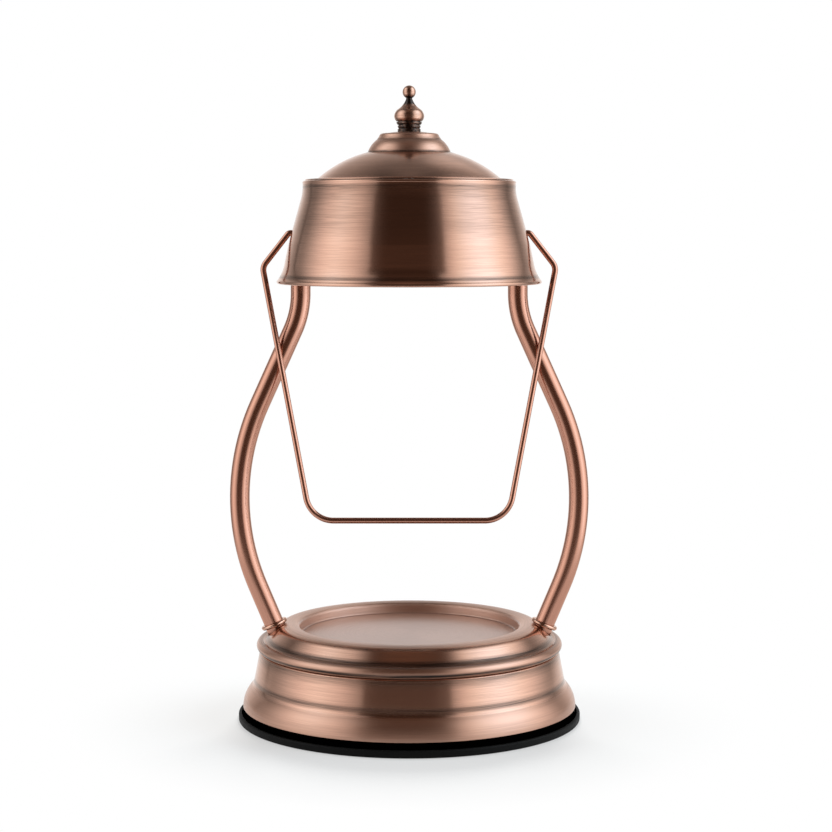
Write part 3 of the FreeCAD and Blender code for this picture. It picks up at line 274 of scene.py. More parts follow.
def build_floor_sheet():
    """Matt paper at the lamp's foot, then plain white, and open air past the table."""
    material = bpy.data.materials.new("floor_sheet")
    material.use_nodes = True
    tree = material.node_tree
    tree.nodes.clear()
    place = add(tree, "TexCoord").outputs["Object"]
    grain = add(tree, "TexNoise", {"Vector": place, "Scale": 14.0, "Detail": 2.0}).outputs["Fac"]
    dark = (SHEET, SHEET, SHEET * PAPER_BLUE)
    pale = tuple(level + PAPER_GRAIN for level in dark)
    paper = mix(tree, grain, dark + (1.0,), pale + (1.0,))
    matt = add(tree, "BsdfDiffuse", {"Color": paper})
    path = add(tree, "LightPath").outputs
    metal = calc(tree, "MAXIMUM", path["Is Glossy Ray"], path["Is Transmission Ray"])
    seen = calc(tree, "MAXIMUM", path["Is Camera Ray"], metal)
    glow = add(tree, "Emission", {"Strength": product(tree, seen, GLOW)})
    lit = add(tree, "AddShader", {0: matt.outputs[0], 1: glow.outputs[0]})
    apart = add(tree, "VectorMath", {0: place}, operation="LENGTH").outputs["Value"]
    white = add(tree, "Emission", {"Strength": seen})
    blank = add(tree, "MixShader", {0: ramp(tree, apart, *WHITE_FROM), 1: lit.outputs[0],
                                    2: white.outputs[0]})
    below = add(tree, "NewGeometry").outputs["Backfacing"]
    past = calc(tree, "MAXIMUM", below, product(tree, metal, ramp(tree, apart, *TABLE_END)))
    open_air = add(tree, "BsdfTransparent")
    sheet = add(tree, "MixShader", {0: past, 1: blank.outputs[0], 2: open_air.outputs[0]})
    tree.links.new(sheet.outputs[0], add(tree, "OutputMaterial").inputs["Surface"])
    return material


bpy.ops.mesh.primitive_circle_add(vertices=96, radius=FLOOR_RADIUS, fill_type="NGON")
floor = bpy.context.object
floor.name = "floor"
floor.location.z = -FLOOR_DROP
floor.data.materials.append(build_floor_sheet())
print("floor: radius", FLOOR_RADIUS, "m")

# %% [markdown]
# One lamp behind throws the soft shadow forward. The metal doesn't show it, so only the
# sheet and the matt pieces take its light.

# %% The lamp behind
LAMP_PLACE = (0.05, 0.85, 0.85)
LAMP_SIZE = 0.5
LAMP_WATTS = 17.0

back_lamp = bpy.data.objects.new("back_lamp", bpy.data.lights.new("back_lamp", "AREA"))
scene.collection.objects.link(back_lamp)
back_lamp.data.size = LAMP_SIZE
back_lamp.data.energy = LAMP_WATTS
back_lamp.location = LAMP_PLACE
back_lamp.rotation_euler = (-back_lamp.location).to_track_quat("-Z", "Y").to_euler()
back_lamp.visible_glossy = False
back_lamp.visible_camera = False
print("lamp behind:", LAMP_WATTS, "W")


# %% [markdown]
# ## Outlines
#
# A spun piece is one outline turned about the lamp's axis. An outline is a list of corners
# in millimetres, (radius, height) before a straight run and (radius, height, arc radius,
# turn) before an arc, where turn 1 bends left and turn -1 bends right. They are the
# corners of the CAD solids, so the fine meshes lie on the same surfaces.

# %% Arcs
ARC_TURN, ARC_RUN = 6.0, 1.0     # the largest steps along an arc, in degrees and mm


def arc_centre(start, end, radius, turn):
    chord = end - start
    away = math.sqrt(max(radius ** 2 - chord.length_squared / 4, 0.0))
    return (start + end) / 2 + Vector((-chord.y, chord.x)).normalized() * turn * away


def turned_points(centre, radius, start, sweep, steps):
    """Points on an arc that begins at start, equal turns apart."""
    first = math.atan2(start.y - centre.y, start.x - centre.x)
    return [centre + Vector((math.cos(first + sweep * i / steps),
                             math.sin(first + sweep * i / steps))) * radius
            for i in range(steps + 1)]


def arc_points(start, end, radius, turn):
    """Points along the shorter arc from start to end, without the last one."""
    chord = (end - start).length
    sweep = 2 * math.asin(min(chord / 2 / radius, 1.0)) * turn
    steps = max(2, math.ceil(abs(math.degrees(sweep)) / ARC_TURN), math.ceil(chord / ARC_RUN))
    centre = arc_centre(start, end, radius, turn)
    return turned_points(centre, radius, start, sweep, steps)[:-1]


print("a quarter of a 10 mm circle has",
      len(arc_points(Vector((10, 0)), Vector((0, 10)), 10.0, 1)), "points")


# %% [markdown]
# A straight run needs only its ends to be straight, but the marks for patina and polish
# live on vertices, so it gets more of them. Two lie right beside its ends: smooth shading
# bends the normals between neighbours, and there it should bend them over a hair only.

# %% Straight runs and whole outlines
LINE_RUN, EDGE_RUN = 1.2, 0.2    # steps along a straight run, and right at its ends


def line_points(start, end):
    """Points along a run without its last one, and two of them close to its ends."""
    length = (end - start).length
    if length < ARC_RUN:
        return [start]
    steps = math.ceil(length / LINE_RUN)
    edge = EDGE_RUN / length
    shares = [0.0, edge] + [i / steps for i in range(1, steps)] + [1.0 - edge]
    return [start.lerp(end, share) for share in shares]


def outline_points(corners):
    places = [Vector(corner[:2]) for corner in corners]
    points = []
    for corner, start, end in zip(corners, places, places[1:] + places[:1]):
        points += arc_points(start, end, *corner[2:]) if corner[2:] else line_points(start, end)
    return points


def on_ring(ring_radius, height, radius, degrees):
    angle = math.radians(degrees)
    return ring_radius + radius * math.cos(angle), height + radius * math.sin(angle)


print("a 10 mm run has", len(line_points(Vector((0, 0)), Vector((10, 0)))), "points")


# %% [markdown]
# `spin` turns an outline round the axis into a mesh, in 256 steps where a piece asks for no
# other number. A Screw modifier would turn it too, but the old patina, the painted shade and
# the polish change along the outline, and here every vertex can carry them. `recess` tells
# how dark a place of the outline is, from patina and painted shade, and `satin` how matt the
# polish is there. The copper material reads both.

# %% Meshes and rings
def finish_mesh(name, vertices, faces, sharp_degrees=32.0):
    mesh = bpy.data.meshes.new(name)
    mesh.from_pydata(vertices, [], faces)
    mesh.validate()
    mesh.shade_smooth()
    mesh.set_sharp_from_angle(angle=math.radians(sharp_degrees))
    item = bpy.data.objects.new(name, mesh)
    scene.collection.objects.link(item)
    return item


def ring_faces(row, following):
    """Faces between two rings of vertices; a ring on the axis is a single vertex."""
    if len(row) == 1 and len(following) == 1:
        return []
    steps = max(len(row), len(following))
    faces = []
    for k in range(steps):
        on = (k + 1) % steps
        if len(row) == 1:
            faces.append((row[0], following[on], following[k]))
        elif len(following) == 1:
            faces.append((row[k], row[on], following[0]))
        else:
            faces.append((row[k], row[on], following[on], following[k]))
    return faces


print("from a ring of 8 vertices to one on the axis:", len(ring_faces(range(8), [8])), "faces")


# %% Spun pieces
SPIN_STEPS, BASE_STEPS = 256, 320    # the base is wider, so it gets more steps


def spin(name, corners, recess=None, satin=None, segments=SPIN_STEPS):
    vertices, rows, marks = [], [], {"recess": [], "satin": []}
    for point in outline_points(corners):
        steps = 1 if point.x < 1e-6 else segments
        rows.append(list(range(len(vertices), len(vertices) + steps)))
        for k in range(steps):
            angle = 2 * math.pi * k / segments
            vertices.append((point.x * MM * math.cos(angle), point.x * MM * math.sin(angle),
                             point.y * MM))
        for label, mark in (("recess", recess), ("satin", satin)):
            marks[label] += [mark(point.x, point.y) if mark else 0.0] * steps
    faces = []
    for row, following in zip(rows, rows[1:] + rows[:1]):
        faces += ring_faces(row, following)
    item = finish_mesh(name, vertices, faces)
    for label, values in marks.items():
        item.data.attributes.new(label, "FLOAT", "POINT").data.foreach_set("value", values)
    return item


# %% [markdown]
# Holes are cut with a Boolean, which keeps the rest of the spun mesh as it is.

# %% Holes, and a piece's place in the frame
def cut_round(item, radius, start, end):
    """Cuts a round hole along the line from start to end, all in millimetres."""
    start, end = Vector(start) * MM, Vector(end) * MM
    drill = bmesh.new()
    bmesh.ops.create_cone(drill, cap_ends=True, segments=64, radius1=radius * MM,
                          radius2=radius * MM, depth=(end - start).length)
    turn = (end - start).to_track_quat("Z", "Y").to_matrix().to_4x4()
    drill.transform(Matrix.Translation((start + end) / 2) @ turn)
    mesh = bpy.data.meshes.new("drill")
    drill.to_mesh(mesh)
    drill.free()
    cutter = bpy.data.objects.new("drill", mesh)
    scene.collection.objects.link(cutter)
    hole = item.modifiers.new("hole", "BOOLEAN")
    hole.operation = "DIFFERENCE"
    hole.solver = "EXACT"
    hole.object = cutter
    view = bpy.context.evaluated_depsgraph_get()
    result = bpy.data.meshes.new_from_object(item.evaluated_get(view))
    item.modifiers.clear()
    result.name = item.name
    item.data = result
    bpy.data.objects.remove(cutter)


def stand_for(item, body, slot, *nodes):
    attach(item, body)
    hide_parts(*nodes)
    print(f"{item.name}: {len(item.data.polygons)} faces")


# %% [markdown]
# ## Dome and finial
#
# The dome is a thin spun cap. Its brim slopes down to the rolled rim of the hood, and its
# crown has two steps. A Solidify modifier could give a single surface its thickness. Here
# the outline runs out along the inside of the sheet and back along the outside instead, so
# every edge is the CAD solid's own.
#
# Polish reaches what stands out and misses what lies deep, so patina stays there, and the
# same marks paint the shade that falls in those creases. `near` marks such a place on an
# outline, here the foot of each step, and `rise` marks all that lies beyond a place.

# %% The dome
CROWN_FOOT, CROWN_STEP = 286.9, 293.2


def near(value, middle, reach):
    """1 at the middle, 0 at reach away from it, with a soft foot."""
    share = max(0.0, 1.0 - abs(value - middle) / reach)
    return share * share * (3.0 - 2.0 * share)


def rise(value, start, run):
    """0 at start and 1 at the end of the run, which is negative where it rises downwards."""
    return min(max((value - start) / run, 0.0), 1.0)


# Patina and painted shade at the foot of the crown and at its step.
def dome_patina_and_shade(radius, height):
    return max(0.75 * near(height, CROWN_FOOT, 1.1), 0.45 * near(height, CROWN_STEP, 0.9))


dome = spin("copper_dome", [
    (2.8, 296.2), (6.6, 296.2), (12.4, 295.3), (14.36, 294.4),
    (15.46, 292.8, 12.2, -1), (20.3, 286.1, 59.2, -1), (45.2, 273.15), (52.0, 272.9),
    (52.0, 273.3), (45.6, 273.95, 60.0, 1), (20.7, CROWN_FOOT, 13.0, 1), (16.1, CROWN_STEP),
    (15.0, 294.8, 1.7, 1), (12.8, 296.1), (6.6, 297.0), (2.8, 297.0)], dome_patina_and_shade)
stand_for(dome, "lamp", "copper_dome", "dome")

# %% [markdown]
# The finial is turned from bar: two rings between grooves, a bulb, a neck and a ball. Its
# heights are given above its foot. The dark patina stays in the grooves and round the neck,
# and the whole stack of rings and the foot of the bulb are darker too.

# %% The finial
FOOT = 297.0
GROOVES = ((1.5, 0.8), (3.3, 0.7), (5.05, 0.8))    # height above the foot, and reach
RINGS_TOP, NECK = 5.2, 15.6


def finial_recess(radius, height):
    up = height - FOOT
    groove = max(near(up, middle, reach) for middle, reach in GROOVES)
    rings = 0.8 if up < RINGS_TOP else 0.6 * near(up, RINGS_TOP, 1.8)
    neck = min(1.0, 1.6 * near(up, NECK, 3.6))
    return max(groove, rings, neck)


finial = spin("copper_finial", [
    (2.55, FOOT), (5.75, FOOT), (5.75, FOOT + 1.35), (5.3, FOOT + 1.35),
    (5.3, FOOT + 1.7, 1.4, 1), (5.65, FOOT + 3.1), (5.3, FOOT + 3.1),
    (5.3, FOOT + 3.45), (5.65, FOOT + 3.45, 1.4, 1), (6.35, FOOT + 4.85), (5.65, FOOT + 4.85),
    (5.65, FOOT + 5.2), (6.35, FOOT + 5.2, 3.6, 1), (7.5, FOOT + 7.9, 4.6, 1),
    (5.6, FOOT + 11.2, 10.0, -1), (1.55, FOOT + 16.3), (1.55, FOOT + 16.765, 3.3, 1),
    (3.3, FOOT + 19.7, 3.3, 1), (0.0, FOOT + 23.0), (0.0, FOOT + 9.8),
    (2.55, FOOT + 9.8)], finial_recess, segments=128)
stand_for(finial, "lamp", "copper_finial", "finial")

# %% [markdown]
# ## Hood
#
# The hood is a spun drum that flares down to a rolled lip, with a rolled rim round its top.
# Both rolls are arcs of the outline: a bevel on a plain edge could round it, but not stand
# proud of the sheet as a roll does. Two small holes take the ends of the wire bail.

# %% The hood
ROLL, RIM = 0.85, 271.75          # the rolled rim's own radius, and its middle's height
rim_out = math.sqrt(ROLL ** 2 - 0.7 ** 2)     # where the roll meets the outer wall
rim_in = math.sqrt(ROLL ** 2 - 0.05 ** 2)     # and where it meets the flange
LIP = (65.6, 222.35, 0.95)        # the rolled lip: ring radius, height and its own radius
BAIL_HEIGHT, BAIL_HOLE = 246.7, 1.56
HOOD_WALL, FLANGE = 52.0, 270.9    # the marks lie outside this radius, below this height
RIM_GROOVE, LIP_GROOVE = 269.6, 225.1


def hood_patina_and_shade(radius, height):
    """Painted shade with patina in the rim and lip grooves, and painted shade towards the top."""
    if radius < HOOD_WALL or height > FLANGE:
        return 0.0
    # top is painted shade that grows towards the top of the hood.
    top = rise(height, 243.0, 7.0) * 0.18 + rise(height, 262.0, 8.0) * 0.2
    return max(top, 0.6 * near(height, RIM_GROOVE, 1.3), 0.75 * near(height, LIP_GROOVE, 1.2))


hood = spin("copper_hood", [
    (47.0, 271.8), (47.0, 271.0), (52.5, 271.0), (52.5, 269.3, 20.8, 1), (53.3, 263.9),
    (59.65, 241.3), (61.6, 232.2, 20.8, 1), (*on_ring(*LIP, 165.0), 0.95, 1),
    (65.6, 221.4, 0.95, 1), (*on_ring(*LIP, 55.0), 20.0, -1), (62.4, 232.2),
    (60.45, 241.3), (54.1, 263.9, 20.0, -1), (53.3, 269.3), (53.3, RIM - rim_out, ROLL, 1),
    (52.6, RIM + ROLL, ROLL, 1), (52.6 - rim_in, 271.8)], hood_patina_and_shade)
cut_round(hood, BAIL_HOLE, (-70.0, 0.0, BAIL_HEIGHT), (70.0, 0.0, BAIL_HEIGHT))
stand_for(hood, "lamp", "copper_hood", "hood")

# %% [markdown]
# ## Base
#
# The top of the base is one spun cap: the dish for the candle in the middle, the rounded
# ring, a sloping shoulder, a cove and the bead that is rolled over the skirt. The arms go
# in through two holes in the shoulder, cut along the lean of their straight feet. The
# bead, the dish and the inner half of the ring are rubbed in use, so they are more matt.

# %% The top of the base
LEAN = math.radians(22.62)
ENTRY = Vector((66.5, 0.0, 42.5))    # where an arm's axis passes the underside of the dish
BEAD = (74.95, 38.5, 2.7)            # the rolled bead: ring radius, height and its own radius
ARM_HOLE = 5.4
DRILL_FROM, DRILL_TO = -8.0, 14.0    # along the arm, to both sides of the sheet
COVE, BEAD_CREST, BEAD_FOOT = 41.9, 40.6, 37.4
DISH_CORNER = 54.4


def along_arm(side, distance):
    """A place on the straight foot of an arm, at a distance above the dish's underside."""
    return Vector((side * (ENTRY.x + distance * math.sin(LEAN)), 0.0,
                   ENTRY.z + distance * math.cos(LEAN)))


def top_patina_and_shade(radius, height):
    """Patina and painted shade in the cove, round the dish and under the bead; a painted
    highlight on the crest.
    """
    # cove, dish and under add painted shade to the patina in these creases, and rubbed paints a
    # highlight along the bead's crest.
    cove = 0.75 * near(height, COVE, 2.2) if radius > 70.0 else 0.0
    dish = 0.4 * near(radius, DISH_CORNER, 0.8) if height > 43.4 else 0.0
    under = 0.85 * near(height, BEAD_FOOT, 1.4) if radius > 74.0 else 0.0
    rubbed = 0.15 * near(height, BEAD_CREST, 1.4) if radius > 74.0 else 0.0
    return max(cove, dish, under) - rubbed


def top_satin(radius, height):
    return 0.7 if radius > 74.5 or radius < 64.0 else 0.0


base_top = spin("copper_base_top", [
    (0.0, 42.5), (54.31, 42.5, 2.05, 1), (56.2, 44.5), (56.6, 46.9, 1.0, -1),
    (57.4, 47.71, 23.0, -1), (63.65, 47.71, 5.0, -1), (66.65, 46.15), (70.3, 42.25),
    (*on_ring(*BEAD, 157.0), 2.7, 1), (74.95, 35.8, 2.7, 1), (77.65, 38.5, 2.7, 1),
    (*on_ring(*BEAD, 122.0), 9.0, -1), (71.0, 42.95), (67.35, 46.85, 6.0, 1),
    (63.8, 48.71, 24.0, 1), (57.3, 48.71, 2.0, 1), (55.6, 47.1), (55.2, 44.55, 1.05, -1),
    (54.1, 43.5), (0.0, 43.5)], top_patina_and_shade, top_satin, segments=BASE_STEPS)
for side in (1, -1):
    cut_round(base_top, ARM_HOLE, along_arm(side, DRILL_FROM), along_arm(side, DRILL_TO))
stand_for(base_top, "lamp", "copper_top", "base_top")


# %% [markdown]
# The skirt is a second spun shell with a flared foot, and the black tray under it closes
# the base. A bush for the cord sits in a hole in the back of the skirt, square to the
# skirt's sloping wall.

# %% The skirt and the tray
CORD_HOLE = 4.7
CORD_FROM, CORD_TO = (0.0, 71.54, 25.28), (0.0, 84.10, 27.72)
FLARE_GROOVE, FLARE_CREST = 20.9, 15.0


def skirt_patina_and_shade(radius, height):
    """Patina and painted shade above the flare, painted shade under the bead, and a painted
    highlight on the flare.
    """
    groove = 0.65 * near(height, FLARE_GROOVE, 2.3)
    shade_under_bead = 0.5 * rise(height, 30.5, 4.0) if height < 35.0 else 0.0
    # Less dark on the flare's crest: a painted highlight.
    return max(groove, shade_under_bead) - 0.15 * near(height, FLARE_CREST, 3.0)


def skirt_satin(radius, height):
    return 0.7 * rise(height, 18.6, -1.5)


base_skirt = spin("copper_base_skirt", [
    (83.7, 7.4), (84.7, 7.4), (84.7, 7.8, 14.5, 1), (80.3, 17.6, 5.6, -1), (79.0, 20.4),
    (76.25, 34.6, 1.0, 1), (75.25, 35.6), (72.95, 35.6), (72.95, 34.6), (75.25, 34.6),
    (78.0, 20.4, 6.6, 1), (79.3, 17.1, 13.5, -1), (83.7, 7.8)],
    skirt_patina_and_shade, skirt_satin, segments=BASE_STEPS)
cut_round(base_skirt, CORD_HOLE, CORD_FROM, CORD_TO)
stand_for(base_skirt, "lamp", "copper_skirt", "base_skirt")

base_tray = spin("base_tray_rim", [
    (0.0, 1.5), (80.0, 1.5), (80.0, 0.3), (86.2, 0.3, 0.8, 1), (87.0, 1.1),
    (87.0, 3.2, 0.8, 1), (86.2, 4.0), (85.5, 4.0), (85.5, 3.4), (84.3, 3.4),
    (84.3, 7.4), (83.3, 7.4), (83.3, 9.3), (81.3, 9.3), (81.3, 3.5), (0.0, 3.5)],
    segments=BASE_STEPS)
stand_for(base_tray, "lamp", "black_plastic", "base_tray")


# %% [markdown]
# ## Arms, collars and bail
#
# The arms are bent from tube and the bail from wire. A curve with a round bevel would give
# the shape, but a mesh of our own can also carry a second set of coordinates, round the
# tube and along it, and with them the material draws its lines lengthwise.
#
# A path is a line through points with a tangent bend at each inner one, as a pipe bender
# makes it.

# %% Paths
def path_points(corners, bends):
    """Points along a flat path (x, z) in millimetres, with arcs at the inner corners."""
    corners = [Vector(corner) for corner in corners]
    points = [corners[0]]
    for before, corner, after, radius in zip(corners, corners[1:], corners[2:], bends):
        back, on = (before - corner).normalized(), (after - corner).normalized()
        half_turn = (math.pi - back.angle(on)) / 2
        first = corner + back * radius * math.tan(half_turn)
        last = corner + on * radius * math.tan(half_turn)
        turn = 1 if back.x * on.y - back.y * on.x < 0 else -1
        steps = max(4, math.ceil(math.degrees(2 * half_turn) / 2.0))
        centre = arc_centre(first, last, radius, turn)
        points += turned_points(centre, radius, first, turn * 2 * half_turn, steps)
    points.append(corners[-1])
    return points


def mirrored(points):
    return [Vector((-point.x, point.y)) for point in points]


print("a path with one square bend has",
      len(path_points([(0, 0), (30, 0), (30, 30)], [10.0])), "points")


# %% [markdown]
# A tube is a ring of vertices at each point of the path, one ring for its wall and one for
# its bore. An open end is closed between the two rings, and a wire's end by one flat face.

# %% Tubes
def tube_faces(count, segments, hollow):
    """Faces of a tube or a wire whose path has so many points."""
    walls = 2 if hollow else 1
    ring = segments * walls
    faces = []
    for i in range(count - 1):
        for wall in range(walls):
            for k in range(segments):
                on = (k + 1) % segments
                a, b = i * ring + wall * segments, (i + 1) * ring + wall * segments
                quad = (a + k, a + on, b + on, b + k)
                faces.append(quad[::-1] if wall else quad)
    for base, flip in ((0, True), ((count - 1) * ring, False)):
        if hollow:
            for k in range(segments):
                on = (k + 1) % segments
                quad = (base + k, base + on, base + segments + on, base + segments + k)
                faces.append(quad[::-1] if flip else quad)
        else:
            cap = tuple(base + k for k in range(segments))
            faces.append(cap[::-1] if flip else cap)
    return faces


print("a straight tube of 8 sides has", len(tube_faces(2, 8, True)), "faces, a wire",
      len(tube_faces(2, 8, False)))


def tube(name, points, radius, bore=0.0, segments=48):
    """A round tube along a flat path; the section's first axis lies in the path's plane."""
    vertices, places = [], []
    travelled = 0.0
    walls = [radius, bore] if bore else [radius]
    for i, point in enumerate(points):
        before, after = points[max(i - 1, 0)], points[min(i + 1, len(points) - 1)]
        ahead = (after - before).normalized()
        if i:
            travelled += (point - points[i - 1]).length
        for wall in walls:
            for k in range(segments):
                angle = 2 * math.pi * k / segments
                out, front = wall * math.cos(angle), wall * math.sin(angle)
                vertices.append(((point.x + ahead.y * out) * MM, -front * MM,
                                 (point.y - ahead.x * out) * MM))
                places.append((math.cos(angle), math.sin(angle), travelled * MM))
    item = finish_mesh(name, vertices, tube_faces(len(points), segments, bool(bore)), 50.0)
    drawn = item.data.attributes.new("drawn", "FLOAT_VECTOR", "POINT")
    drawn.data.foreach_set("vector", [number for place in places for number in place])
    return item


# %% [markdown]
# Each arm starts at its nut under the dish and leans out, square to the shoulder of the
# base. It bends in at the knee, stands upright at the waist and steps in to the hood's
# neck. Its corners are listed from the top down, and the left arm mirrors the right one.

# %% The arms
ARM_TUBE, ARM_BORE = 5.0, 4.0
NUT_FOOT, STUB = 28.74, 1.5    # the nut's underside, and the end of tube below it
KNEE_RISE = 72.0               # from the dish's underside to the knee

foot = along_arm(1, (NUT_FOOT - STUB * math.cos(LEAN) - ENTRY.z) / math.cos(LEAN))
knee = along_arm(1, KNEE_RISE / math.cos(LEAN))
right_line = path_points([(33.0, 276.0), (33.0, 253.8), (54.58, 228.1), (54.58, 206.8),
                          (knee.x, knee.z), (foot.x, foot.z)], [25.0, 25.0, 45.4, 116.4])
arms = []
for label, line in (("right", right_line), ("left", mirrored(right_line))):
    arm = tube("copper_arm_" + label, line, ARM_TUBE, ARM_BORE, segments=64)
    stand_for(arm, "lamp", "copper_tube", "arm_" + label)
    arms.append(arm)

# %% [markdown]
# The bail is drawn flat, with its pivot at the origin, then leaned forward until it rests on
# the arms and lifted to its two holes.

# %% The bail
BAIL_WIRE = 1.5
BAIL_LEAN = math.radians(-6.38)

bail_half = path_points([(54.6, 0.0), (60.4, 0.0), (73.5, -17.0), (49.4, -144.1),
                         (0.0, -144.1)], [2.0, 6.0, 14.0])
bail = tube("copper_bail", bail_half[:-1] + mirrored(bail_half[-2::-1]), BAIL_WIRE, segments=32)
bail.data.transform(Matrix.Translation((0.0, 0.0, BAIL_HEIGHT * MM))
                    @ Matrix.Rotation(BAIL_LEAN, 4, "X"))
stand_for(bail, "bail", "copper_wire", "bail")

# %% [markdown]
# A small rounded collar hides the edge of each hole in the shoulder.

# %% The collars
COLLAR_SEAT = 5.135    # along the arm, from the dish's underside to the shoulder

collars = []
for side, label in ((1, "right"), (-1, "left")):
    collar = spin("copper_collar_" + label, [
        (5.05, 0.0), (5.95, 0.0, 0.9, 1), (6.85, 0.9), (6.85, 1.1, 0.9, 1), (5.95, 2.0),
        (5.05, 2.0)], segments=96)
    seat = along_arm(side, COLLAR_SEAT) * MM
    collar.data.transform(Matrix.Translation(seat) @ Matrix.Rotation(side * LEAN, 4, "Y"))
    stand_for(collar, "lamp", "copper_collar", "arm_collar_" + label)
    collars.append(collar)


# %% [markdown]
# ## Copper
#
# The copper is plated, darkened in a bath, then polished back on a wheel and lacquered. The
# wheel leaves fine lines: round the axis on the spun pieces, lengthwise on the tubes and
# the wire. It can't reach the grooves, and there the dark patina stays.
#
# Scratches could be a picture wrapped round each piece, but noise read at a stretched place
# has no seam and no end. Two node groups make such lines, fine and broad ones each. Both
# stretch the place with the same helper.

# %% Turned and drawn lines
def new_group(name, inputs, outputs):
    """An empty node group; inputs and outputs are {name: default} and {name: kind}."""
    group = bpy.data.node_groups.new(name, "ShaderNodeTree")
    for label, default in inputs.items():
        kind = "NodeSocketFloat"
        if isinstance(default, tuple):
            kind = "NodeSocketVector" if len(default) == 3 else "NodeSocketColor"
        socket = group.interface.new_socket(label, in_out="INPUT", socket_type=kind)
        socket.default_value = default
    for label, kind in outputs.items():
        group.interface.new_socket(label, in_out="OUTPUT", socket_type="NodeSocket" + kind)
    return group, group.nodes.new("NodeGroupInput"), group.nodes.new("NodeGroupOutput")


def stretched_noise(group, across, along, spread, scale, **settings):
    """Noise in long lines: two places across them, and one along."""
    place = add(group, "CombineXYZ", {0: product(group, across[0], spread),
                                      1: product(group, across[1], spread),
                                      2: product(group, along, scale)})
    return add(group, "TexNoise", {"Vector": place.outputs[0], "Scale": 1.0,
                                   **settings}).outputs["Fac"]


def build_turned_grain():
    """Fine rings round the lamp's axis, as a spinning lathe or brush leaves them."""
    group, given, result = new_group(
        "turned_grain", {"Position": (0.0, 0.0, 0.0), "Lines": 1500.0},
        {"Fine": "Float", "Broad": "Float"})
    x, y, z = add(group, "SeparateXYZ", {0: given.outputs["Position"]}).outputs
    radius = calc(group, "SQRT", total(group, product(group, x, x), product(group, y, y)))
    radius = calc(group, "MAXIMUM", radius, 0.0005)
    round_axis = (calc(group, "DIVIDE", x, radius), calc(group, "DIVIDE", y, radius))
    outline = calc(group, "SUBTRACT", z, radius)
    for label, spread, scale, detail in (("Fine", 3.2, 1.3, 2.0), ("Broad", 1.0, 0.16, 3.0)):
        lines = product(group, given.outputs["Lines"], scale)
        noise = stretched_noise(group, round_axis, outline, spread, lines,
                                Detail=detail, Roughness=0.6)
        group.links.new(noise, result.inputs[label])
    return group


def build_drawn_grain():
    """Fine lines along a tube or a wire."""
    group, given, result = new_group("drawn_grain", {"Place": (0.0, 0.0, 0.0)},
                                     {"Fine": "Float", "Broad": "Float"})
    a, b, along = add(group, "SeparateXYZ", {0: given.outputs["Place"]}).outputs
    for label, spread, scale in (("Fine", 7.0, 9.0), ("Broad", 2.0, 4.0)):
        noise = stretched_noise(group, (a, b), along, spread, scale, Detail=1.0)
        group.links.new(noise, result.inputs[label])
    return group


turned_grain, drawn_grain = build_turned_grain(), build_drawn_grain()
print("lines:", len(turned_grain.nodes), "and", len(drawn_grain.nodes), "nodes")

# %% [markdown]
# A third group lays the patina over the copper. It is thin in the streaks that the wheel
# left, and thick where a recess is marked, which paints the patina of the hollows and also
# painted shade. Patina, streaks and satin places all blur the reflection a little more,
# which is why one group puts out both colour and roughness.

# %% Copper and patina
# Copper colours as light they send back straight on: polished, and under the old patina.
COPPER = (0.518, 0.297, 0.216, 1.0)
RED_COPPER = (0.51, 0.255, 0.182, 1.0)
PATINA = (0.014, 0.008, 0.006, 1.0)
COPPER_EDGE = (1.0, 0.87, 0.79, 1.0)    # tint where the metal is seen at a grazing angle
TURNED_BUMP, DRAWN_BUMP = 0.15, 0.02    # how strongly the fine lines catch the light


def build_antique():
    """Polished copper over old patina, streaked by the grain, dark where patina and painted shade
    are marked.
    """
    group, given, result = new_group(
        "antique_copper", {"Copper": COPPER, "Patina": PATINA, "Fine": 0.5, "Broad": 0.5,
                           "Recess": 0.0, "Satin": 0.0, "Wear": 0.1, "Polish": 0.12},
        {"Color": "Color", "Roughness": "Float", "Height": "Float"})
    recess, satin = given.outputs["Recess"], given.outputs["Satin"]
    fine = ramp(group, given.outputs["Fine"], 0.36, 0.64)
    broad = ramp(group, given.outputs["Broad"], 0.3, 0.7)
    streak = total(group, product(group, fine, 0.7), product(group, broad, 0.3))
    thin = product(group, streak, given.outputs["Wear"])
    # deep is where the recess marks paint patina and shade.
    deep = product(group, recess, ramp(group, streak, 0.0, 1.0, 0.85, 1.15))
    cover = calc(group, "MINIMUM", total(group, thin, deep), 1.0)
    colour = mix(group, cover, given.outputs["Copper"], given.outputs["Patina"])
    rough = total(group, given.outputs["Polish"], product(group, streak, 0.06),
                  product(group, recess, 0.15), product(group, satin, 0.26))
    group.links.new(colour, result.inputs["Color"])
    group.links.new(rough, result.inputs["Roughness"])
    group.links.new(fine, result.inputs["Height"])
    return group


antique = build_antique()
print("patina:", len(antique.nodes), "nodes")


# %% [markdown]
# A piece can have two materials. Masks in one material could do the same, but then its
# nodes would grow with each finish, while here a face simply points at the second slot.

# %% First and second materials
def set_material(item, material):
    item.data.materials.clear()
    item.data.materials.append(material)


def set_second(item, material, where):
    """Gives the faces for which where(radius, height) holds, in millimetres, a material."""
    item.data.materials.append(material)
    for face in item.data.polygons:
        x, y, z = face.center
        if where(math.hypot(x, y) / MM, z / MM):
            face.material_index = len(item.data.materials) - 1
    print(material.name, "on part of", item.name)


# %% [markdown]
# The copper material holds the metal and its lacquer. Lines round a piece spread a
# reflection across themselves and not along, and the shader's Anisotropic does that once it
# has a tangent about the axis. On the arms and the bail the lines run lengthwise, and a
# faint bump is enough.

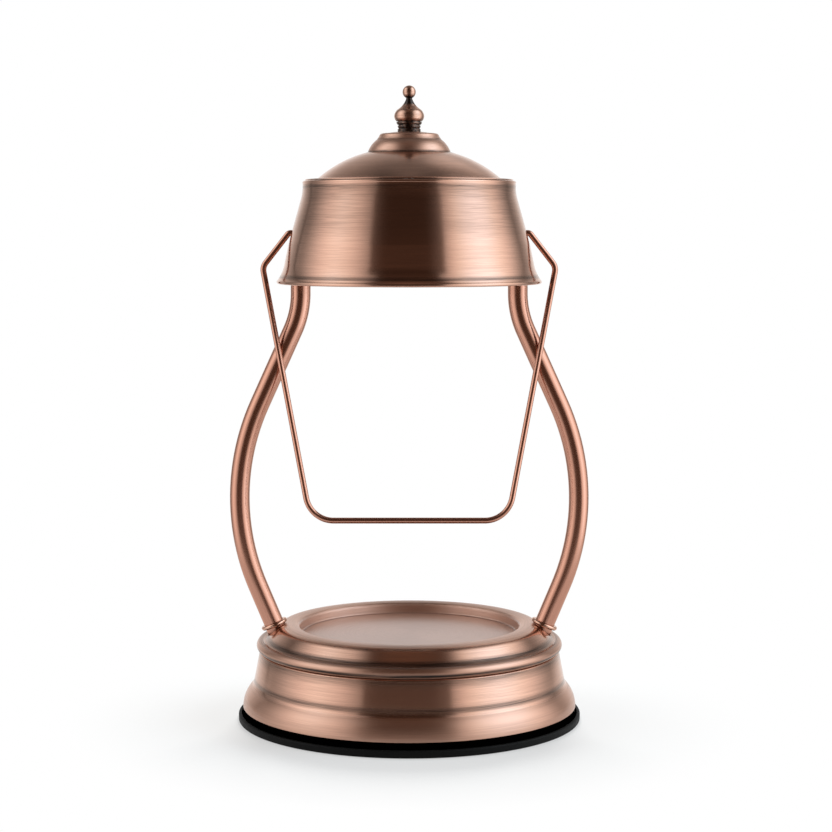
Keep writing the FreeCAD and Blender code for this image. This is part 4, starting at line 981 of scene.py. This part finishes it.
# %% The copper material
def copper_material(name, *pieces, drawn=False, wear=0.2, lines=2300.0, polish=0.17,
                    coat=0.35, lacquer=0.1, across=0.85, tone=COPPER):
    """Antique copper: wear is the patina left in the streaks, polish and lacquer are the
    blur of the metal and of its coat, and across is how far the lines spread it."""
    material = bpy.data.materials.new(name)
    material.use_nodes = True
    tree = material.node_tree
    shader = tree.nodes["Principled BSDF"]
    marks = {}
    if drawn:
        place = add(tree, "Attribute", attribute_name="drawn").outputs["Vector"]
        grain = add(tree, "Group", {"Place": place}, node_tree=drawn_grain)
    else:
        place = add(tree, "TexCoord").outputs["Object"]
        grain = add(tree, "Group", {"Position": place, "Lines": lines}, node_tree=turned_grain)
        marks = {"Recess": add(tree, "Attribute", attribute_name="recess").outputs["Fac"],
                 "Satin": add(tree, "Attribute", attribute_name="satin").outputs["Fac"]}
    finish = add(tree, "Group", {
        "Copper": tone, "Patina": PATINA, "Fine": grain.outputs["Fine"],
        "Broad": grain.outputs["Broad"], "Wear": wear, "Polish": polish, **marks},
        node_tree=antique)
    bump = add(tree, "Bump", {"Strength": DRAWN_BUMP if drawn else TURNED_BUMP,
                              "Distance": 0.01 * MM, "Height": finish.outputs["Height"]})
    tree.links.new(finish.outputs["Color"], shader.inputs["Base Color"])
    tree.links.new(finish.outputs["Roughness"], shader.inputs["Roughness"])
    tree.links.new(bump.outputs[0], shader.inputs["Normal"])
    shader.inputs["Metallic"].default_value = 1.0
    shader.inputs["Specular Tint"].default_value = COPPER_EDGE
    shader.inputs["Coat Weight"].default_value = coat
    shader.inputs["Coat Roughness"].default_value = lacquer
    if not drawn:
        tangent = add(tree, "Tangent", direction_type="RADIAL", axis="Z")
        tree.links.new(tangent.outputs[0], shader.inputs["Tangent"])
        shader.inputs["Anisotropic"].default_value = across
        shader.inputs["Anisotropic Rotation"].default_value = 0.25
    for piece in pieces:
        set_material(piece, material)
    print(name, "on", [piece.name for piece in pieces])
    return material


# %% [markdown]
# Each piece has copper of its own values: the finial keeps more patina, the collars are
# bright, and the drawn tubes and wire are redder. The crown of the dome and the dish are
# scrubbed, not polished, so they get a second material with a wide blur.

# %% The copper pieces
DISH_EDGE, DISH_FLOOR = 56.4, 43.2    # radius and height that bound the dish

copper_material("copper_hood", hood)
copper_material("copper_dome", dome)
copper_crown = copper_material("copper_crown", polish=0.33, lacquer=0.2, across=0.0)
set_second(dome, copper_crown, lambda radius, height: height > CROWN_FOOT + 0.1)
copper_material("copper_finial", finial, wear=0.3, polish=0.24, across=0.3)
copper_material("copper_top", base_top)
copper_dish = copper_material("copper_dish", wear=0.08, polish=0.36, coat=1.0, lacquer=0.25,
                              across=0.3)
set_second(base_top, copper_dish,
           lambda radius, height: radius < DISH_EDGE and height > DISH_FLOOR)
copper_material("copper_skirt", base_skirt)
copper_material("copper_collar", *collars, wear=0.04, polish=0.1)
copper_material("copper_tube", *arms, drawn=True, wear=0.14, polish=0.2, coat=0.1,
                tone=RED_COPPER)
copper_material("copper_wire", bail, drawn=True, wear=0.1, polish=0.2, coat=0.1,
                tone=RED_COPPER)


# %% [markdown]
# ## Plastic, rubber, steel, iron, ceramic and glass
#
# No real surface is one flat shade. The other materials share one group that gives noise at
# two sizes: the grain of the surface, and slow changes of shade across it.

# %% Surface grain
def build_surface_grain():
    group, given, result = new_group(
        "surface_grain", {"Position": (0.0, 0.0, 0.0), "Grain": 900.0, "Cloud": 40.0},
        {"Fine": "Float", "Slow": "Float"})
    for label, size in (("Fine", "Grain"), ("Slow", "Cloud")):
        noise = add(group, "TexNoise", {"Vector": given.outputs["Position"],
                                        "Scale": given.outputs[size], "Detail": 3.0})
        group.links.new(noise.outputs["Fac"], result.inputs[label])
    return group


surface_grain = build_surface_grain()
print("surface grain:", len(surface_grain.nodes), "nodes")


# %% [markdown]
# One function makes all of them, because they differ in values and not in kind: two close
# shades, how rough, how deep the grain, and any other socket by its name.

# %% A grained material
def grained_material(name, colour, second, roughness, nodes, metallic=0.0, grain=900.0,
                     cloud=40.0, depth=0.05, spread=0.1, detail=None, **sockets):
    """A surface of two close shades with a fine grain; detail adds a height of its own."""
    material = bpy.data.materials.new(name)
    material.use_nodes = True
    tree = material.node_tree
    shader = tree.nodes["Principled BSDF"]
    place = add(tree, "TexCoord").outputs["Object"]
    height, slow = add(tree, "Group", {"Position": place, "Grain": grain, "Cloud": cloud},
                       node_tree=surface_grain).outputs
    rough = ramp(tree, height, 0.3, 0.7, roughness - spread / 2, roughness + spread / 2)
    shade = ramp(tree, slow, 0.3, 0.7)
    if detail:
        height, mask = detail(tree, place, height)
        shade = product(tree, shade, mask)
    colours = mix(tree, shade, second + (1.0,), colour + (1.0,))
    bump = add(tree, "Bump", {"Strength": 0.4, "Distance": depth * MM, "Height": height})
    tree.links.new(colours, shader.inputs["Base Color"])
    tree.links.new(rough, shader.inputs["Roughness"])
    tree.links.new(bump.outputs[0], shader.inputs["Normal"])
    shader.inputs["Metallic"].default_value = metallic
    for label, value in sockets.items():
        shader.inputs[label.replace("_", " ")].default_value = value
    for node in nodes:
        set_material(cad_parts.get(node) or bpy.data.objects[node], material)
    print(name, "on", nodes)
    return material


# %% [markdown]
# Some surfaces have a form of their own that is too small to model. Each of these helpers
# gives its height, and a mask for its shade: the open cells of foam rubber, the crystals on
# zinc plate, the turns of a thread, and the small lenses on the bulb's front.

# %% Cells, crystals, threads and lenses
THREAD_PITCH = 1.0 * MM


def foam_cells(tree, place, fine):
    """Open cells of foam rubber: a low floor in each cell, painted dark as shade, and a high wall
    round it.
    """
    cells = add(tree, "TexVoronoi", {"Vector": place, "Scale": 1100.0})
    wall = ramp(tree, cells.outputs["Distance"], 0.1, 0.6)
    return wall, wall


def spangle(tree, place, fine):
    """Zinc crystals: flat patches that differ a little in shade."""
    patch = add(tree, "TexVoronoi", {"Vector": place, "Scale": 450.0})
    shade = add(tree, "SeparateXYZ", {0: patch.outputs["Color"]}).outputs["X"]
    return fine, ramp(tree, shade, 0.0, 1.0, 0.6, 1.0)


def thread(tree, place, fine):
    """A screw thread round the lamp's axis, with painted shade in its roots."""
    x, y, z = add(tree, "SeparateXYZ", {0: place}).outputs
    turn = total(tree, product(tree, z, 2 * math.pi / THREAD_PITCH),
                 calc(tree, "ARCTAN2", y, x))
    wave = calc(tree, "ABSOLUTE", calc(tree, "SINE", product(tree, turn, 0.5)))
    return wave, ramp(tree, wave, 0.0, 0.5, 0.3, 1.0)


def stipple(tree, place, fine):
    """Small round lenses pressed into the glass that spread the beam."""
    cells = add(tree, "TexVoronoi", {"Vector": place, "Scale": 420.0}, feature="SMOOTH_F1")
    return product(tree, cells.outputs["Distance"], -1.0), 1.0


# %% [markdown]
# The tray is moulded black plastic. Behind its rim runs the gutter that the skirt stands
# in, and hardly any light finds its way out of it, so its faces have a darker plastic
# without a shine.

# %% Plastic and rubber
GUTTER_EDGE, GUTTER_FLOOR = 85.6, 2.0    # the gutter lies inside this radius, above this height

grained_material("black_plastic", (0.0035, 0.0033, 0.0031), (0.002, 0.002, 0.002), 0.6,
                 ["base_tray_rim"], depth=0.04, Specular_IOR_Level=0.12)
black_gutter = grained_material("black_gutter", (0.0006, 0.0005, 0.0005),
                                (0.0003, 0.0003, 0.0003), 0.9, [], Specular_IOR_Level=0.0)
set_second(base_tray, black_gutter,
           lambda radius, height: radius < GUTTER_EDGE and height > GUTTER_FLOOR)
grained_material("black_rubber", (0.012, 0.012, 0.012), (0.007, 0.007, 0.007), 0.62,
                 ["cord_grommet"], depth=0.05, Specular_IOR_Level=0.35)
grained_material("foam_rubber", (0.024, 0.024, 0.024), (0.006, 0.006, 0.006), 0.85,
                 ["nonslip_pad"], depth=0.3, detail=foam_cells)

# %% [markdown]
# The iron ballast is rough from the mould, the straps, nuts and screws are zinc plated
# steel, and the pins of the bulb are bright nickel.

# %% Iron, zinc and nickel
grained_material("cast_iron", (0.13, 0.12, 0.115), (0.075, 0.065, 0.06), 0.6,
                 ["ballast_disc"], metallic=0.8, grain=700.0, depth=0.15)
grained_material("zinc_steel", (0.66, 0.67, 0.68), (0.50, 0.51, 0.50), 0.3,
                 ["tray_screws", "base_posts", "base_bridge", "arm_foot_nuts", "arm_head_nuts",
                  "mount_plate", "rod_nut", "socket_bracket", "bracket_screws"],
                 metallic=1.0, grain=2200.0, cloud=120.0, depth=0.01, spread=0.14, detail=spangle)
grained_material("zinc_thread", (0.64, 0.65, 0.66), (0.40, 0.40, 0.39), 0.32,
                 ["hanger_rod"], metallic=1.0, depth=0.4, detail=thread)
grained_material("nickel", (0.72, 0.70, 0.65), (0.62, 0.60, 0.56), 0.18,
                 ["bulb_pins"], metallic=1.0, grain=2500.0, depth=0.01)

# %% [markdown]
# The socket and the foot of the bulb are glazed ceramic. The reflector is glass with a
# metal coat on it, so it is mostly metal here, and the lens and the capsule let light
# through: a plain Transmission Weight with the glass's own index does that.

# %% Ceramic and glass
grained_material("white_ceramic", (0.84, 0.83, 0.79), (0.78, 0.76, 0.71), 0.42,
                 ["socket", "bulb_base"], grain=1600.0, depth=0.02, Coat_Weight=0.15,
                 Coat_Roughness=0.2)
grained_material("coated_glass", (0.80, 0.81, 0.82), (0.70, 0.72, 0.75), 0.12,
                 ["bulb_reflector"], metallic=0.9, grain=600.0, depth=0.03, Coat_Weight=0.6,
                 Coat_Roughness=0.03)
grained_material("clear_lens", (0.97, 0.98, 0.98), (0.94, 0.95, 0.96), 0.05, ["bulb_lens"],
                 depth=0.4, spread=0.04, detail=stipple, Transmission_Weight=1.0, IOR=1.47)
grained_material("clear_capsule", (0.98, 0.98, 0.98), (0.95, 0.95, 0.95), 0.03,
                 ["bulb_capsule"], depth=0.01, spread=0.03, Transmission_Weight=1.0, IOR=1.46)
